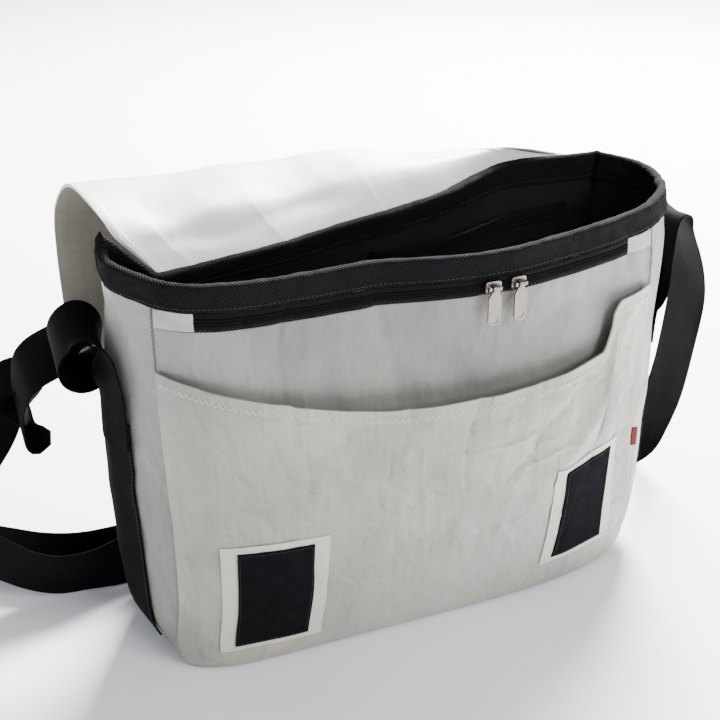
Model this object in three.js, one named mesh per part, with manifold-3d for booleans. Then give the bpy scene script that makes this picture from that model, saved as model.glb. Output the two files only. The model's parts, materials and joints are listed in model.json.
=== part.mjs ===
// Laptop messenger bag standing open, its flap thrown back behind it and its belt lying loose.
// Millimetres, +Z up, front towards -Y. The origin is the centre of the flat bottom.
import * as THREE from 'three';
import { mergeVertices } from 'three/addons/utils/BufferGeometryUtils.js';
import Module from 'manifold-3d';

const wasm = await Module();
wasm.setup();

// Body
const bodyWidth = 380;
const bodyDepth = 110;
const rimHeight = 312;
const leftBulge = 27;
const rightBulge = 35;
const frontSwell = 24;
const backSwell = 10;
const frontWave = 8;
const backWave = 28;
const rimTilt = 17;

// Cloth and the small gaps between its layers
const clothWall = 1.6;
const liningWall = 1.1;
const tapeWall = 1.2;
const clothGap = 0.5;
const bindingGap = 0.8;
const crownGap = 2.4;
const liningGap = 0.7;
const bandGap = 1.4;
const zipGap = 0.7;
const patchGap = 0.9;
const seamGap = 0.4;

// Rim binding and zip
const bindingDrop = 16;
const zipBand = 13.5;
const coilWidth = 4.6;
const coilHeight = 1.6;
const zipInset = 30;
const zipTabInset = 3;

// Zip sliders and their pull tabs
const sliderWidth = 12;
const sliderHeight = 9;
const sliderThickness = 3.4;
const sliderSpacing = 20;
const sliderPlace = 0.6;
const bailSpan = 8;
const bailWire = 2;
const pullLength = 28;
const pullWidth = 10;
const pullThickness = 1.5;
const pullEyeWall = 0.9;
const pivotClearance = 0.4;

// Flap
const flapWidth = 432;
const flapWall = 1.8;
const ridgeHeight = 31;
const ridgeDepth = 68;
const flapHang = 148;
const flapHangDepth = 24;

// Front pocket
const pocketWall = 1.3;
const pocketGap = 0.7;
const pocketStand = 17;
const pocketEndHeight = 250;
const pocketDip = 44;

// Fastener patches and their reinforcements
const patchWidth = 56;
const patchHeight = 86;
const patchWall = 1.4;
const reinforcementMargin = 11;
const reinforcementWall = 1.0;
const leftPatchPlace = -0.79;
const rightPatchPlace = 0.595;
const leftPatchTop = 112;
const rightPatchTop = 122;

// Inner pocket
const innerPocketHeight = 130;
const innerPocketDrop = 32;
const innerPocketStand = 15;
const innerPocketWall = 1.1;
const innerBindingHeight = 11;
const innerPocketStart = 8.6;
const innerPocketEnd = 1.0;

// Shoulder belt and its sliding buckle
const beltWidth = 48;
const beltThickness = 1.4;
const bandTop = 0.62;
const bandBottom = 0.035;
const bandShift = 7;
const buckleWidth = 56;
const buckleBar = 4;
const buckleThickness = 2.4;
const buckleSlot = 12;
const buckleLift = 0.3;
const buckleX = -118;
const buckleY = 78;
const buckleLead = 14;
const beltSpread = 190;

// Side tag
const tagWidth = 5;
const tagHeight = 16;
const tagWall = 1.4;
const tagPlace = 0.36;

const halfWidth = bodyWidth / 2;
const halfDepth = bodyDepth / 2;
const baseLift = clothWall + clothGap;
const liningOffset = -(clothWall + liningGap);
const liningInside = liningOffset - liningWall;
const bindingOutside = bindingGap + tapeWall;

const finishes = {
  sailcloth: { color: 0xb8b9b4, roughness: 0.82, metalness: 0 },
  pocketCloth: { color: 0xc6c4ba, roughness: 0.78, metalness: 0 },
  coatedCloth: { color: 0xdcdcd8, roughness: 0.7, metalness: 0 },
  liningCloth: { color: 0x17171b, roughness: 0.9, metalness: 0 },
  blackTape: { color: 0x1d1d23, roughness: 0.85, metalness: 0 },
  webbing: { color: 0x22222a, roughness: 0.75, metalness: 0 },
  hookLoop: { color: 0x141418, roughness: 0.95, metalness: 0 },
  nickel: { color: 0xc0b6aa, roughness: 0.28, metalness: 1 },
  blackPlastic: { color: 0x1a1a1c, roughness: 0.45, metalness: 0 },
  redTape: { color: 0xa8202a, roughness: 0.8, metalness: 0 },
};

// Plan of the bag at several heights, each height a share of the rim height.
// Columns: x as shares of the half width, y as shares of the half depth,
// bulges as shares of the left and right bulge, swells as shares of the front and back swell.
// leftBehind and leftBefore are the exponents of the left gusset's curve behind and before its
// ridge; rightPinch draws the front in beside its right seam, from 0 full to 1 pinched.
const sections = [
  // height, frontLeft x y, leftRidge out y, backLeft x y, backRight x y, rightRidge out y,
  // frontRight x y, front, back, leftBehind, leftBefore, rightPinch
  [0, -0.958, -0.98, 0.2, 0, -0.92, 0.91, 0.905, 0.91, 0.5, 0, 0.93, -0.84, 0.72, 0.4, 2, 2, 0],
  [0.03, -0.985, -1.01, 0.36, 0.04, -0.975, 0.98, 0.975, 0.98, 0.6, 0, 0.985, -0.86, 0.82, 0.6, 1.8, 1.8, 0.2],
  [0.08, -1, -1.02, 0.58, 0.08, -1, 1, 1.01, 1, 0.74, 0, 1.02, -0.88, 0.9, 0.8, 1.5, 1.4, 0.5],
  [0.2, -0.985, -1.02, 0.86, 0.1, -1, 1, 1.025, 1, 0.9, 0, 1.022, -0.9, 1.05, 1, 1.3, 1.2, 1],
  [0.4, -0.985, -1.02, 0.98, 0.1, -1, 0.91, 1.025, 1, 1, 0, 1.01, -0.9, 1.15, 1, 1.2, 1.2, 1],
  [0.62, -1, -1.02, 0.96, 0.08, -0.995, 0.69, 1.03, 0.98, 0.97, 0, 1.015, -0.91, 1.08, 0.8, 1.2, 1.3, 0.6],
  [0.82, -1.005, -1.02, 0.92, 0, -0.975, 0.27, 1.05, 0.91, 0.89, -0.04, 1.03, -0.91, 1.05, 0.4, 1.1, 2, 0.2],
  [1, -1.01, -1, 0.98, -0.05, -0.935, -0.27, 1.08, 0.84, 0.76, -0.09, 1.01, -0.91, 1.1, 0, 1, 4, 0],
];

// Heights of the mesh rows and number of steps round each side of the bag
const bindingRow = 1 - bindingDrop / rimHeight;
const zipRow = 1 - (bindingDrop + zipBand) / rimHeight;
const rowHeights = [0, 0.03, 0.08, 0.16, 0.28, 0.42, 0.56, 0.70, 0.82, zipRow, bindingRow, 1];
const frontSteps = 22;
const gussetSteps = 6;
const backSteps = 16;
const rightFront = frontSteps;
const rightBack = frontSteps + gussetSteps;
const leftBack = rightBack + backSteps;
const ringSteps = leftBack + gussetSteps;

// A surface known at rows of points, read between them by straight lines
class Sheet {
  constructor(rows) {
    this.rows = rows;
  }

  get lastRow() {
    return this.rows.length - 1;
  }

  get lastColumn() {
    return this.rows[0].length - 1;
  }

  // Each cell is two triangles, split from its first corner to its last
  point(row, column) {
    const r = Math.min(Math.max(Math.floor(row), 0), this.lastRow - 1);
    const c = Math.min(Math.max(Math.floor(column), 0), this.lastColumn - 1);
    const up = row - r;
    const over = column - c;
    const first = this.rows[r][c];
    const last = this.rows[r + 1][c + 1];
    const side = over >= up ? this.rows[r][c + 1] : this.rows[r + 1][c];
    const near = Math.min(up, over);
    const far = Math.max(up, over);
    return first.clone().multiplyScalar(1 - far)
      .addScaledVector(side, far - near)
      .addScaledVector(last, near);
  }

  // Column at a distance along a row from a starting column
  walk(row, column, distance) {
    const step = Math.sign(distance) * 0.1;
    let left = Math.abs(distance);
    let place = column;
    while (left > 0) {
      const length = this.point(row, place).distanceTo(this.point(row, place + step));
      if (length >= left) return place + step * left / length;
      left -= length;
      place += step;
    }
    return place;
  }

  // Column where a row reaches an x, counted from the first column
  columnAtX(row, x) {
    let low = 0;
    let high = this.lastColumn;
    for (let turn = 0; turn < 30; turn += 1) {
      const middle = (low + high) / 2;
      if (this.point(row, middle).x < x) low = middle;
      else high = middle;
    }
    return low;
  }

  // Row where a column reaches a height
  rowAtHeight(column, z) {
    let low = 0;
    let high = this.lastRow;
    for (let turn = 0; turn < 30; turn += 1) {
      const middle = (low + high) / 2;
      if (this.point(middle, column).z < z) low = middle;
      else high = middle;
    }
    return low;
  }

  // Copy moved along the surface's own normal, towards the side that toward points to
  shifted(distance, toward) {
    return new Sheet(this.rows.map((row, r) => row.map((point, c) => {
      const across = this.at(r, c + 1).clone().sub(this.at(r, c - 1));
      const along = this.at(r + 1, c).clone().sub(this.at(r - 1, c));
      const normal = across.cross(along).normalize();
      if (normal.dot(toward(point)) < 0) normal.negate();
      return point.clone().addScaledVector(normal, distance);
    })));
  }

  at(r, c) {
    const row = this.rows[Math.min(Math.max(r, 0), this.lastRow)];
    return row[Math.min(Math.max(c, 0), this.lastColumn)];
  }
}

function mix(a, b, t) {
  return a + (b - a) * t;
}

function smooth(t) {
  const clamped = Math.min(Math.max(t, 0), 1);
  return clamped * clamped * (3 - 2 * clamped);
}

// A rounded hump of height 1 about a centre
function hump(t, centre, spread) {
  return Math.exp(-(((t - centre) / spread) ** 2));
}

// One row of a table at a place between its rows, on a smooth curve through them
function tableRow(table, place) {
  let k = 0;
  while (k < table.length - 2 && place > table[k + 1][0]) k += 1;
  const before = table[Math.max(k - 1, 0)];
  const from = table[k];
  const to = table[k + 1];
  const after = table[Math.min(k + 2, table.length - 1)];
  const t = (place - from[0]) / (to[0] - from[0]);
  const span = to[0] - from[0];
  return from.map((value, column) => {
    if (column === 0) return place;
    const slopeIn = (to[column] - before[column]) / (to[0] - before[0]) * span;
    const slopeOut = (after[column] - value) / (after[0] - from[0]) * span;
    const h00 = 2 * t ** 3 - 3 * t ** 2 + 1;
    const h10 = t ** 3 - 2 * t ** 2 + t;
    const h01 = -2 * t ** 3 + 3 * t ** 2;
    const h11 = t ** 3 - t ** 2;
    return h00 * value + h10 * slopeIn + h01 * to[column] + h11 * slopeOut;
  });
}

// Swell of the front between its seams, drawn in beside the right seam by a pinch of 0 to 1
function frontShape(u, pinch) {
  if (u < 0.5) return 1 - (1 - 2 * u) ** 10;
  const full = 1 - (2 * u - 1) ** 4.2;
  const pinched = 1 - smooth(4 * u - 3);
  return mix(full, pinched, pinch);
}

// Corners and ridges of the bag's plan at one height, in millimetres
function planAt(height) {
  const [, flX, flY, leftOut, leftY, blX, blY, brX, brY, rightOut, rightY,
    frX, frY, front, back, leftBehind, leftBefore, rightPinch] = tableRow(sections, height);
  const frontLeft = new THREE.Vector2(flX * halfWidth, flY * halfDepth);
  const backLeft = new THREE.Vector2(blX * halfWidth, blY * halfDepth);
  const backRight = new THREE.Vector2(brX * halfWidth, brY * halfDepth);
  const frontRight = new THREE.Vector2(frX * halfWidth, frY * halfDepth);
  const leftMiddle = (frontLeft.y + backLeft.y) / 2;
  const rightMiddle = (frontRight.y + backRight.y) / 2;
  const leftApex = new THREE.Vector2(-leftOut * leftBulge, leftY * halfDepth - leftMiddle);
  const rightApex = new THREE.Vector2(rightOut * rightBulge, rightY * halfDepth - rightMiddle);
  return {
    frontLeft, backLeft, backRight, frontRight, leftApex, rightApex,
    front, back, leftBehind, leftBefore, rightPinch,
  };
}

// Gusset between two seams: it stands out from the line between them, most at its middle.
// Each half has its exponent: 1 is straight, 2 is round, more is fuller.
function gussetPoint(from, to, apex, t, first, second) {
  const share = 1 - Math.abs(2 * t - 1) ** (t < 0.5 ? first : second);
  return from.clone().lerp(to, t).addScaledVector(apex, share);
}

// Height of the rim above its mean at each side, as the open mouth sags and lifts
function rimRise(side, t) {
  if (side === 'front') return -0.25 * rimTilt * Math.sin(Math.PI * t);
  if (side === 'right') return mix(0, 0.6 * rimTilt, t) + 0.1 * rimTilt * Math.sin(Math.PI * t);
  if (side === 'back') return mix(0.6 * rimTilt, -0.7 * rimTilt, t);
  return t < 0.5 ? mix(-0.7, 1, 2 * t) * rimTilt : (2 - 2 * t) ** 2 * rimTilt;
}

// Share of the front's width that a column stands at, closer together beside the seams
function frontShare(column) {
  const even = column / frontSteps;
  return mix(even, (1 - Math.cos(Math.PI * even)) / 2, 0.6);
}

// One closed ring of the bag's outside, counter-clockwise from the front left seam
function ringAt(height) {
  const plan = planAt(height);
  const lift = height ** 3;
  const points = [];
  const place = (flat, side, t) => {
    const z = mix(baseLift, rimHeight, height) + lift * rimRise(side, t);
    points.push(new THREE.Vector3(flat.x, flat.y, z));
  };
  for (let i = 0; i < frontSteps; i += 1) {
    const u = frontShare(i);
    const wave = frontWave * lift * (hump(u, 0.60, 0.13) - hump(u, 0.38, 0.13));
    const flat = plan.frontLeft.clone().lerp(plan.frontRight, u);
    flat.y -= plan.front * frontSwell * frontShape(u, plan.rightPinch) + wave;
    place(flat, 'front', u);
  }
  for (let i = 0; i < gussetSteps; i += 1) {
    const t = i / gussetSteps;
    const { frontRight, backRight, rightApex } = plan;
    place(gussetPoint(frontRight, backRight, rightApex, t, 2.2, 2.2), 'right', t);
  }
  for (let i = 0; i < backSteps; i += 1) {
    const u = i / backSteps;
    const wave = backWave * lift * (hump(u, 0.2, 0.14) - 0.25 * hump(u, 0.8, 0.18));
    const flat = plan.backRight.clone().lerp(plan.backLeft, u);
    flat.y += plan.back * backSwell * Math.sin(Math.PI * u) + wave;
    place(flat, 'back', u);
  }
  for (let i = 0; i < gussetSteps; i += 1) {
    const t = i / gussetSteps;
    const { backLeft, frontLeft, leftApex, leftBehind, leftBefore } = plan;
    place(gussetPoint(backLeft, frontLeft, leftApex, t, leftBehind, leftBefore), 'left', t);
  }
  return points;
}

// Ring moved outwards in plan by a distance, square to its sides
function offsetRing(ring, distance) {
  return ring.map((point, i) => {
    const before = ring[(i + ring.length - 1) % ring.length];
    const after = ring[(i + 1) % ring.length];
    const inNormal = new THREE.Vector2(point.y - before.y, before.x - point.x).normalize();
    const outNormal = new THREE.Vector2(after.y - point.y, point.x - after.x).normalize();
    const middle = inNormal.add(outNormal).normalize();
    const reach = distance / Math.max(middle.dot(outNormal), 0.4);
    return new THREE.Vector3(point.x + middle.x * reach, point.y + middle.y * reach, point.z);
  });
}

const shellRings = rowHeights.map(ringAt);

// The bag's outside moved outwards by an offset, closed by repeating the first column
function shell(offset) {
  return new Sheet(shellRings.map((ring) => {
    const moved = offsetRing(ring, offset);
    return [...moved, moved[0].clone()];
  }));
}

// Row of the shell at a share of the rim height
function rowOf(height) {
  let k = 0;
  while (k < rowHeights.length - 2 && height > rowHeights[k + 1]) k += 1;
  return k + (height - rowHeights[k]) / (rowHeights[k + 1] - rowHeights[k]);
}

// Closed solid between an outer and an inner grid of points
function slab(outer, inner, closed = false) {
  const rows = outer.length;
  const columns = outer[0].length;
  const points = [...outer.flat(), ...inner.flat()];
  const outside = (r, c) => r * columns + (c % columns);
  const inside = (r, c) => rows * columns + r * columns + (c % columns);
  const faces = [];
  const quad = (a, b, c, d) => faces.push([a, b, c], [a, c, d]);
  const lastColumn = closed ? columns : columns - 1;
  for (let r = 0; r < rows - 1; r += 1) {
    for (let c = 0; c < lastColumn; c += 1) {
      quad(outside(r, c), outside(r, c + 1), outside(r + 1, c + 1), outside(r + 1, c));
      quad(inside(r, c), inside(r + 1, c), inside(r + 1, c + 1), inside(r, c + 1));
    }
    if (!closed) {
      quad(outside(r, 0), outside(r + 1, 0), inside(r + 1, 0), inside(r, 0));
      const end = columns - 1;
      quad(outside(r, end), inside(r, end), inside(r + 1, end), outside(r + 1, end));
    }
  }
  for (let c = 0; c < lastColumn; c += 1) {
    quad(outside(0, c), inside(0, c), inside(0, c + 1), outside(0, c + 1));
    const end = rows - 1;
    quad(outside(end, c), outside(end, c + 1), inside(end, c + 1), inside(end, c));
  }
  return geometryFrom(points, faces);
}

// Closed solid of a profile carried past a row of stations, each a list of profile points.
// Its cells are split from the lower point of a station to the upper point of the next.
function loft(stations, closed = false) {
  const count = stations.length;
  const size = stations[0].length;
  const points = stations.flat();
  const faces = [];
  const index = (s, p) => (s % count) * size + (p % size);
  const steps = closed ? count : count - 1;
  for (let s = 0; s < steps; s += 1) {
    for (let p = 0; p < size; p += 1) {
      const [a, b, c, d] = [index(s, p), index(s, p + 1), index(s + 1, p + 1), index(s + 1, p)];
      if (points[a].z <= points[b].z) faces.push([a, b, c], [a, c, d]);
      else faces.push([a, b, d], [b, c, d]);
    }
  }
  if (!closed) {
    const caps = THREE.ShapeUtils.triangulateShape(flatProfile(stations[0]), []);
    const endCaps = THREE.ShapeUtils.triangulateShape(flatProfile(stations[count - 1]), []);
    for (const [a, b, c] of caps) faces.push([a, c, b]);
    const base = (count - 1) * size;
    for (const [a, b, c] of endCaps) faces.push([base + a, base + b, base + c]);
  }
  return geometryFrom(points, faces);
}

// Profile points of a station in the plane of the profile, for filling its end,
// in the turning sense that the station's own points have
function flatProfile(station) {
  const centre = new THREE.Vector3();
  for (const point of station) centre.addScaledVector(point, 1 / station.length);
  const normal = new THREE.Vector3();
  for (let i = 0; i < station.length; i += 1) {
    const a = station[i].clone().sub(centre);
    const b = station[(i + 1) % station.length].clone().sub(centre);
    normal.add(a.cross(b));
  }
  normal.normalize();
  const across = station[1].clone().sub(station[0]).normalize();
  const up = normal.clone().cross(across);
  return station.map((point) => {
    const arm = point.clone().sub(centre);
    return new THREE.Vector2(arm.dot(across), arm.dot(up));
  });
}

// Indexed geometry of points and triangles, turned so that its faces point outwards
function geometryFrom(points, faces) {
  let volume = 0;
  for (const [a, b, c] of faces) {
    volume += points[a].dot(points[b].clone().cross(points[c]));
  }
  const geometry = new THREE.BufferGeometry();
  const positions = new Float32Array(points.flatMap((point) => [point.x, point.y, point.z]));
  geometry.setAttribute('position', new THREE.BufferAttribute(positions, 3));
  geometry.setIndex(faces.flatMap(([a, b, c]) => (volume > 0 ? [a, b, c] : [a, c, b])));
  return geometry;
}

const bag = new THREE.Group();

function add(name, geometry, finish, parent = bag) {
  geometry.computeVertexNormals();
  const mesh = new THREE.Mesh(geometry, new THREE.MeshStandardMaterial(finishes[finish]));
  mesh.name = name;
  parent.add(mesh);
  return mesh;
}

// Rows of a wall between two ring columns, its ends trimmed back for the seam gap
function wallRows(offset, from, to) {
  return shell(offset).rows.map((row) => {
    const part = row.slice(from, to + 1).map((point) => point.clone());
    const last = part.length - 1;
    const start = part[1].clone().sub(part[0]).setLength(seamGap);
    const end = part[last - 1].clone().sub(part[last]).setLength(seamGap);
    part[0].add(start);
    part[last].add(end);
    return part;
  });
}

function wall(name, from, to, finish) {
  add(name, slab(wallRows(0, from, to), wallRows(-clothWall, from, to)), finish);
}

// Grid of points on the shell between two heights and a list of columns
function shellPatch(offset, heights, columnsAt) {
  const sheet = shell(offset);
  return heights.map((height) => {
    const row = rowOf(height);
    return columnsAt(sheet, row).map((column) => sheet.point(row, column));
  });
}

// Rows or columns from one place to another, keeping every whole one on the way
function stepsBetween(from, to) {
  const steps = [from];
  for (let step = Math.floor(from) + 1; step < to; step += 1) {
    if (step - from > 0.1 && to - step > 0.1) steps.push(step);
  }
  return [...steps, to];
}

function makeBody() {
  wall('front_panel', 0, rightFront, 'sailcloth');
  wall('gusset_right', rightFront, rightBack, 'sailcloth');
  wall('back_panel', rightBack, leftBack, 'sailcloth');
  wall('gusset_left', leftBack, ringSteps, 'sailcloth');
  makeBottom();
  makeLining();
  makeBinding();
}

// Flat bottom panel that the walls stand on
function makeBottom() {
  const outline = shellRings[0].map((point) => new THREE.Vector2(point.x, point.y));
  const geometry = new THREE.ExtrudeGeometry(new THREE.Shape(outline), {
    depth: clothWall,
    bevelEnabled: false,
  });
  add('bottom_panel', mergedPositions(geometry), 'sailcloth');
}

// Black inner bag: walls all round and a floor, open at the top
function makeLining() {
  const heights = [...rowHeights.slice(0, -1), 1 - clothGap / rimHeight];
  const below = (offset, floor) => heights.map((height, r) => {
    const sheet = shell(offset);
    const ring = sheet.rows[0].slice(0, ringSteps).map((_, c) => sheet.point(rowOf(height), c));
    if (r === 0) ring.forEach((point) => { point.z += floor; });
    return ring;
  });
  const outer = below(liningOffset, 0);
  const inner = below(liningInside, liningWall);
  const points = [...outer.flat(), ...inner.flat()];
  const rows = outer.length;
  const outside = (r, c) => r * ringSteps + (c % ringSteps);
  const inside = (r, c) => rows * ringSteps + outside(r, c);
  const faces = [];
  const quad = (a, b, c, d) => faces.push([a, b, c], [a, c, d]);
  for (let r = 0; r < rows - 1; r += 1) {
    for (let c = 0; c < ringSteps; c += 1) {
      quad(outside(r, c), outside(r, c + 1), outside(r + 1, c + 1), outside(r + 1, c));
      quad(inside(r, c), inside(r + 1, c), inside(r + 1, c + 1), inside(r, c + 1));
    }
  }
  for (let c = 0; c < ringSteps; c += 1) {
    const top = rows - 1;
    quad(outside(top, c), outside(top, c + 1), inside(top, c + 1), inside(top, c));
  }
  const floorFaces = (ring) => THREE.ShapeUtils.triangulateShape(
    ring.map((point) => new THREE.Vector2(point.x, point.y)), []);
  for (const [a, b, c] of floorFaces(outer[0])) faces.push([a, c, b]);
  const base = rows * ringSteps;
  for (const [a, b, c] of floorFaces(inner[0])) faces.push([base + a, base + b, base + c]);
  add('lining', geometryFrom(points, faces), 'liningCloth');
}

// Tape folded over the rim, seen from outside and inside
function makeBinding() {
  const inside = liningInside - bindingGap;
  const ceiling = 1 + crownGap / rimHeight;
  const crown = ceiling + tapeWall / rimHeight;
  const profile = [
    [bindingRow, bindingGap],
    [bindingRow, bindingOutside],
    [crown, bindingOutside],
    [crown, inside - tapeWall],
    [bindingRow, inside - tapeWall],
    [bindingRow, inside],
    [ceiling, inside],
    [ceiling, bindingGap],
  ];
  const sheets = profile.map(([, offset]) => shell(offset));
  const stations = [];
  for (let c = 0; c < ringSteps; c += 1) {
    stations.push(profile.map(([height], i) => sheets[i].point(rowOf(height), c)));
  }
  add('rim_binding', loft(stations, true), 'blackTape');
}

// Cloth tape strip on the front between two heights below the rim
function frontStrip(name, fromDrop, toDrop, fromColumn, toColumn, thickness, finish) {
  const heights = [1 - toDrop / rimHeight, 1 - fromDrop / rimHeight];
  const columns = () => stepsBetween(fromColumn, toColumn);
  const outer = shellPatch(zipGap + thickness, heights, columns);
  const inner = shellPatch(zipGap, heights, columns);
  add(name, slab(outer, inner), finish);
}

function makeZip() {
  const sheet = shell(0);
  const top = rowOf(1 - bindingDrop / rimHeight);
  const start = sheet.walk(top, 0, zipInset);
  const end = sheet.walk(top, rightFront, -zipInset);
  const leftTab = sheet.walk(top, 0, zipTabInset);
  const rightTab = sheet.walk(top, rightFront, -zipTabInset);
  const upper = bindingDrop + seamGap;
  const lower = bindingDrop + zipBand;
  const coilTop = (upper + lower - coilWidth) / 2;
  const coilBottom = (upper + lower + coilWidth) / 2;
  frontStrip('zip_tape_upper', upper, coilTop - seamGap, start, end, tapeWall, 'blackTape');
  frontStrip('zip_coil', coilTop, coilBottom, start, end, coilHeight, 'blackTape');
  frontStrip('zip_tape_lower', coilBottom + seamGap, lower, start, end, tapeWall, 'blackTape');
  const leftEnd = sheet.walk(top, start, -seamGap);
  const rightEnd = sheet.walk(top, end, seamGap);
  frontStrip('zip_end_left', upper, lower, leftTab, leftEnd, clothWall, 'sailcloth');
  frontStrip('zip_end_right', upper, lower, rightEnd, rightTab, clothWall, 'sailcloth');
  const middle = sheet.point(top, rightFront * sliderPlace).x;
  makeSlider('left', middle - sliderSpacing / 2, (coilTop + coilBottom) / 2);
  makeSlider('right', middle + sliderSpacing / 2, (coilTop + coilBottom) / 2);
}

function mergedPositions(geometry) {
  geometry.deleteAttribute('normal');
  geometry.deleteAttribute('uv');
  return mergeVertices(geometry);
}

function toSolid(geometry) {
  const merged = mergedPositions(geometry);
  return new wasm.Manifold(new wasm.Mesh({
    numProp: 3,
    vertProperties: new Float32Array(merged.attributes.position.array),
    triVerts: new Uint32Array(merged.index.array),
  }));
}

function toGeometry(solid) {
  const mesh = solid.getMesh();
  const geometry = new THREE.BufferGeometry();
  geometry.setAttribute('position', new THREE.BufferAttribute(mesh.vertProperties, 3));
  geometry.setIndex(new THREE.BufferAttribute(mesh.triVerts, 1));
  return geometry;
}

// Radius of the pull's eye, and the pivot's distance in front of the coil
const eyeRadius = bailWire / 2 + pivotClearance + pullEyeWall;
const pivotOut = sliderThickness + eyeRadius + pivotClearance;

// Slider body with the bail that its pull tab hangs on. Local frame: x along the zip,
// y into the cloth with 0 on the coil's face, z up.
function makeSlider(side, x, drop) {
  const sheet = shell(zipGap + coilHeight);
  const row = rowOf(1 - drop / rimHeight);
  const column = sheet.columnAtX(row, x);
  const centre = sheet.point(row, column);
  const tangent = sheet.point(row, column + 0.3).sub(sheet.point(row, column - 0.3));
  const holder = new THREE.Group();
  holder.position.set(centre.x, centre.y - 1.5 * clothGap, centre.z);
  holder.rotation.z = Math.atan2(tangent.y, tangent.x);
  bag.add(holder);
  add(`slider_${side}`, sliderGeometry(), 'nickel', holder);
  const pull = add(`pull_tab_${side}`, pullGeometry(), 'nickel', holder);
  pull.position.set(0, -pivotOut, 0);
}

function sliderGeometry() {
  const plan = new THREE.Shape();
  const half = sliderHeight / 2;
  const waist = sliderWidth / 2;
  plan.moveTo(-waist, -0.6 * half);
  plan.quadraticCurveTo(-waist, -half, -0.5 * waist, -half);
  plan.lineTo(0.5 * waist, -half);
  plan.quadraticCurveTo(waist, -half, waist, -0.6 * half);
  plan.lineTo(waist, 0.6 * half);
  plan.quadraticCurveTo(waist, half, 0.5 * waist, half);
  plan.lineTo(-0.5 * waist, half);
  plan.quadraticCurveTo(-waist, half, -waist, 0.6 * half);
  const body = new THREE.ExtrudeGeometry(
    plan, { depth: sliderThickness, bevelEnabled: false, curveSegments: 3 });
  body.rotateX(Math.PI / 2);
  const bar = new THREE.CylinderGeometry(bailWire / 2, bailWire / 2, bailSpan, 8);
  bar.rotateZ(Math.PI / 2);
  bar.translate(0, -pivotOut, 0);
  let solid = toSolid(body).add(toSolid(bar));
  for (const end of [-1, 1]) {
    const post = new THREE.BoxGeometry(bailWire, pivotOut - sliderThickness + bailWire, bailWire * 1.3);
    post.translate(end * bailSpan / 2, -(pivotOut + sliderThickness) / 2, 0);
    solid = solid.add(toSolid(post));
  }
  return toGeometry(solid);
}

// Pull tab hanging from its eye. Local frame: the pivot is the origin, the tab hangs along -z.
function pullGeometry() {
  const eyeWidth = bailSpan - 2 * bailWire;
  const eye = new THREE.CylinderGeometry(eyeRadius, eyeRadius, eyeWidth, 12);
  eye.rotateZ(Math.PI / 2);
  const half = pullWidth / 2;
  const neck = eyeWidth / 2;
  const outline = new THREE.Shape();
  const top = -bailWire / 2 - pivotClearance - 0.4;
  outline.moveTo(-neck, top);
  outline.lineTo(-half, top - half);
  outline.lineTo(-half, -pullLength + half);
  outline.absarc(0, -pullLength + half, half, Math.PI, 2 * Math.PI, false);
  outline.lineTo(half, top - half);
  outline.lineTo(neck, top);
  const plate = new THREE.ExtrudeGeometry(outline, {
    depth: pullThickness, bevelEnabled: false, curveSegments: 8,
  });
  plate.translate(0, 0, -pullThickness / 2);
  plate.rotateX(Math.PI / 2);
  const hole = new THREE.CylinderGeometry(
    bailWire / 2 + pivotClearance, bailWire / 2 + pivotClearance, 2 * bailSpan, 12);
  hole.rotateZ(Math.PI / 2);
  const dish = new THREE.CylinderGeometry(0.62 * half, 0.62 * half, pullThickness, 14);
  dish.translate(0, -0.7 * pullThickness, -pullLength + half);
  const solid = toSolid(plate).add(toSolid(eye)).subtract(toSolid(hole)).subtract(toSolid(dish));
  return toGeometry(solid);
}

// Folds pressed into the front pocket. Columns: centre across and up as shares of the
// pocket, run across and up, half width as a share, depth as a share of the stand
const pocketFolds = [
  // across, up, runAcross, runUp, halfWidth, depth
  [0.83, 0.72, -0.20, -0.40, 0.030, 0.34],
  [0.93, 0.62, -0.08, -0.35, 0.025, 0.24],
  [0.70, 0.52, 0.16, 0.07, 0.045, -0.22],
  [0.66, 0.22, 0.20, 0.09, 0.045, -0.20],
];

// Height of the pocket's upper edge: a long dip that ends steeply near the right seam
function pocketEdge(u) {
  const left = Math.sin(Math.min(u / 0.5, 1) * Math.PI / 2) ** 1.1;
  const right = smooth((0.905 - u) / 0.05) * mix(0.85, 1, smooth((0.85 - u) / 0.15));
  return (pocketEndHeight - pocketDip * left * right) / rimHeight;
}

function foldDepth(u, v) {
  let depth = 0;
  for (const [across, up, runAcross, runUp, halfSpan, share] of pocketFolds) {
    const length = Math.hypot(runAcross, runUp);
    const along = ((u - across) * runAcross + (v - up) * runUp) / length;
    const aside = ((u - across) * runUp - (v - up) * runAcross) / length;
    depth += share * hump(aside, 0, halfSpan) * hump(along, 0, length / 1.6);
  }
  return depth;
}

// Pocket rows up to this one follow the bag's rows; the last two rise to the pocket's edge
const pocketBaseRow = 6;

// Pocket cloth in front of the front panel, standing off it towards its mouth
function pocketSheet(extra) {
  const rows = [];
  const base = rowHeights[pocketBaseRow];
  for (let r = 0; r <= pocketBaseRow + 2; r += 1) {
    rows.push([]);
    for (let c = 0; c <= frontSteps; c += 1) {
      const column = Math.min(Math.max(c, 0.1), frontSteps - 0.1);
      const u = frontShare(column);
      const edge = pocketEdge(u);
      const height = r <= pocketBaseRow ? rowHeights[r] : mix(base, edge, (r - pocketBaseRow) / 2);
      const v = height / edge;
      const belly = Math.sin(Math.PI * u) ** 0.7 * smooth(v / 0.75);
      const stand = pocketStand * belly * (1 + foldDepth(u, v));
      rows[r].push(shell(pocketGap + stand + extra).point(rowOf(height), column));
    }
  }
  return new Sheet(rows);
}

function makePocket() {
  const outer = pocketSheet(pocketWall);
  add('front_pocket', slab(outer.rows, pocketSheet(0).rows), 'pocketCloth');
  makePatch('left', outer, leftPatchPlace * halfWidth, leftPatchTop);
  makePatch('right', outer, rightPatchPlace * halfWidth, rightPatchTop);
}

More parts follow.
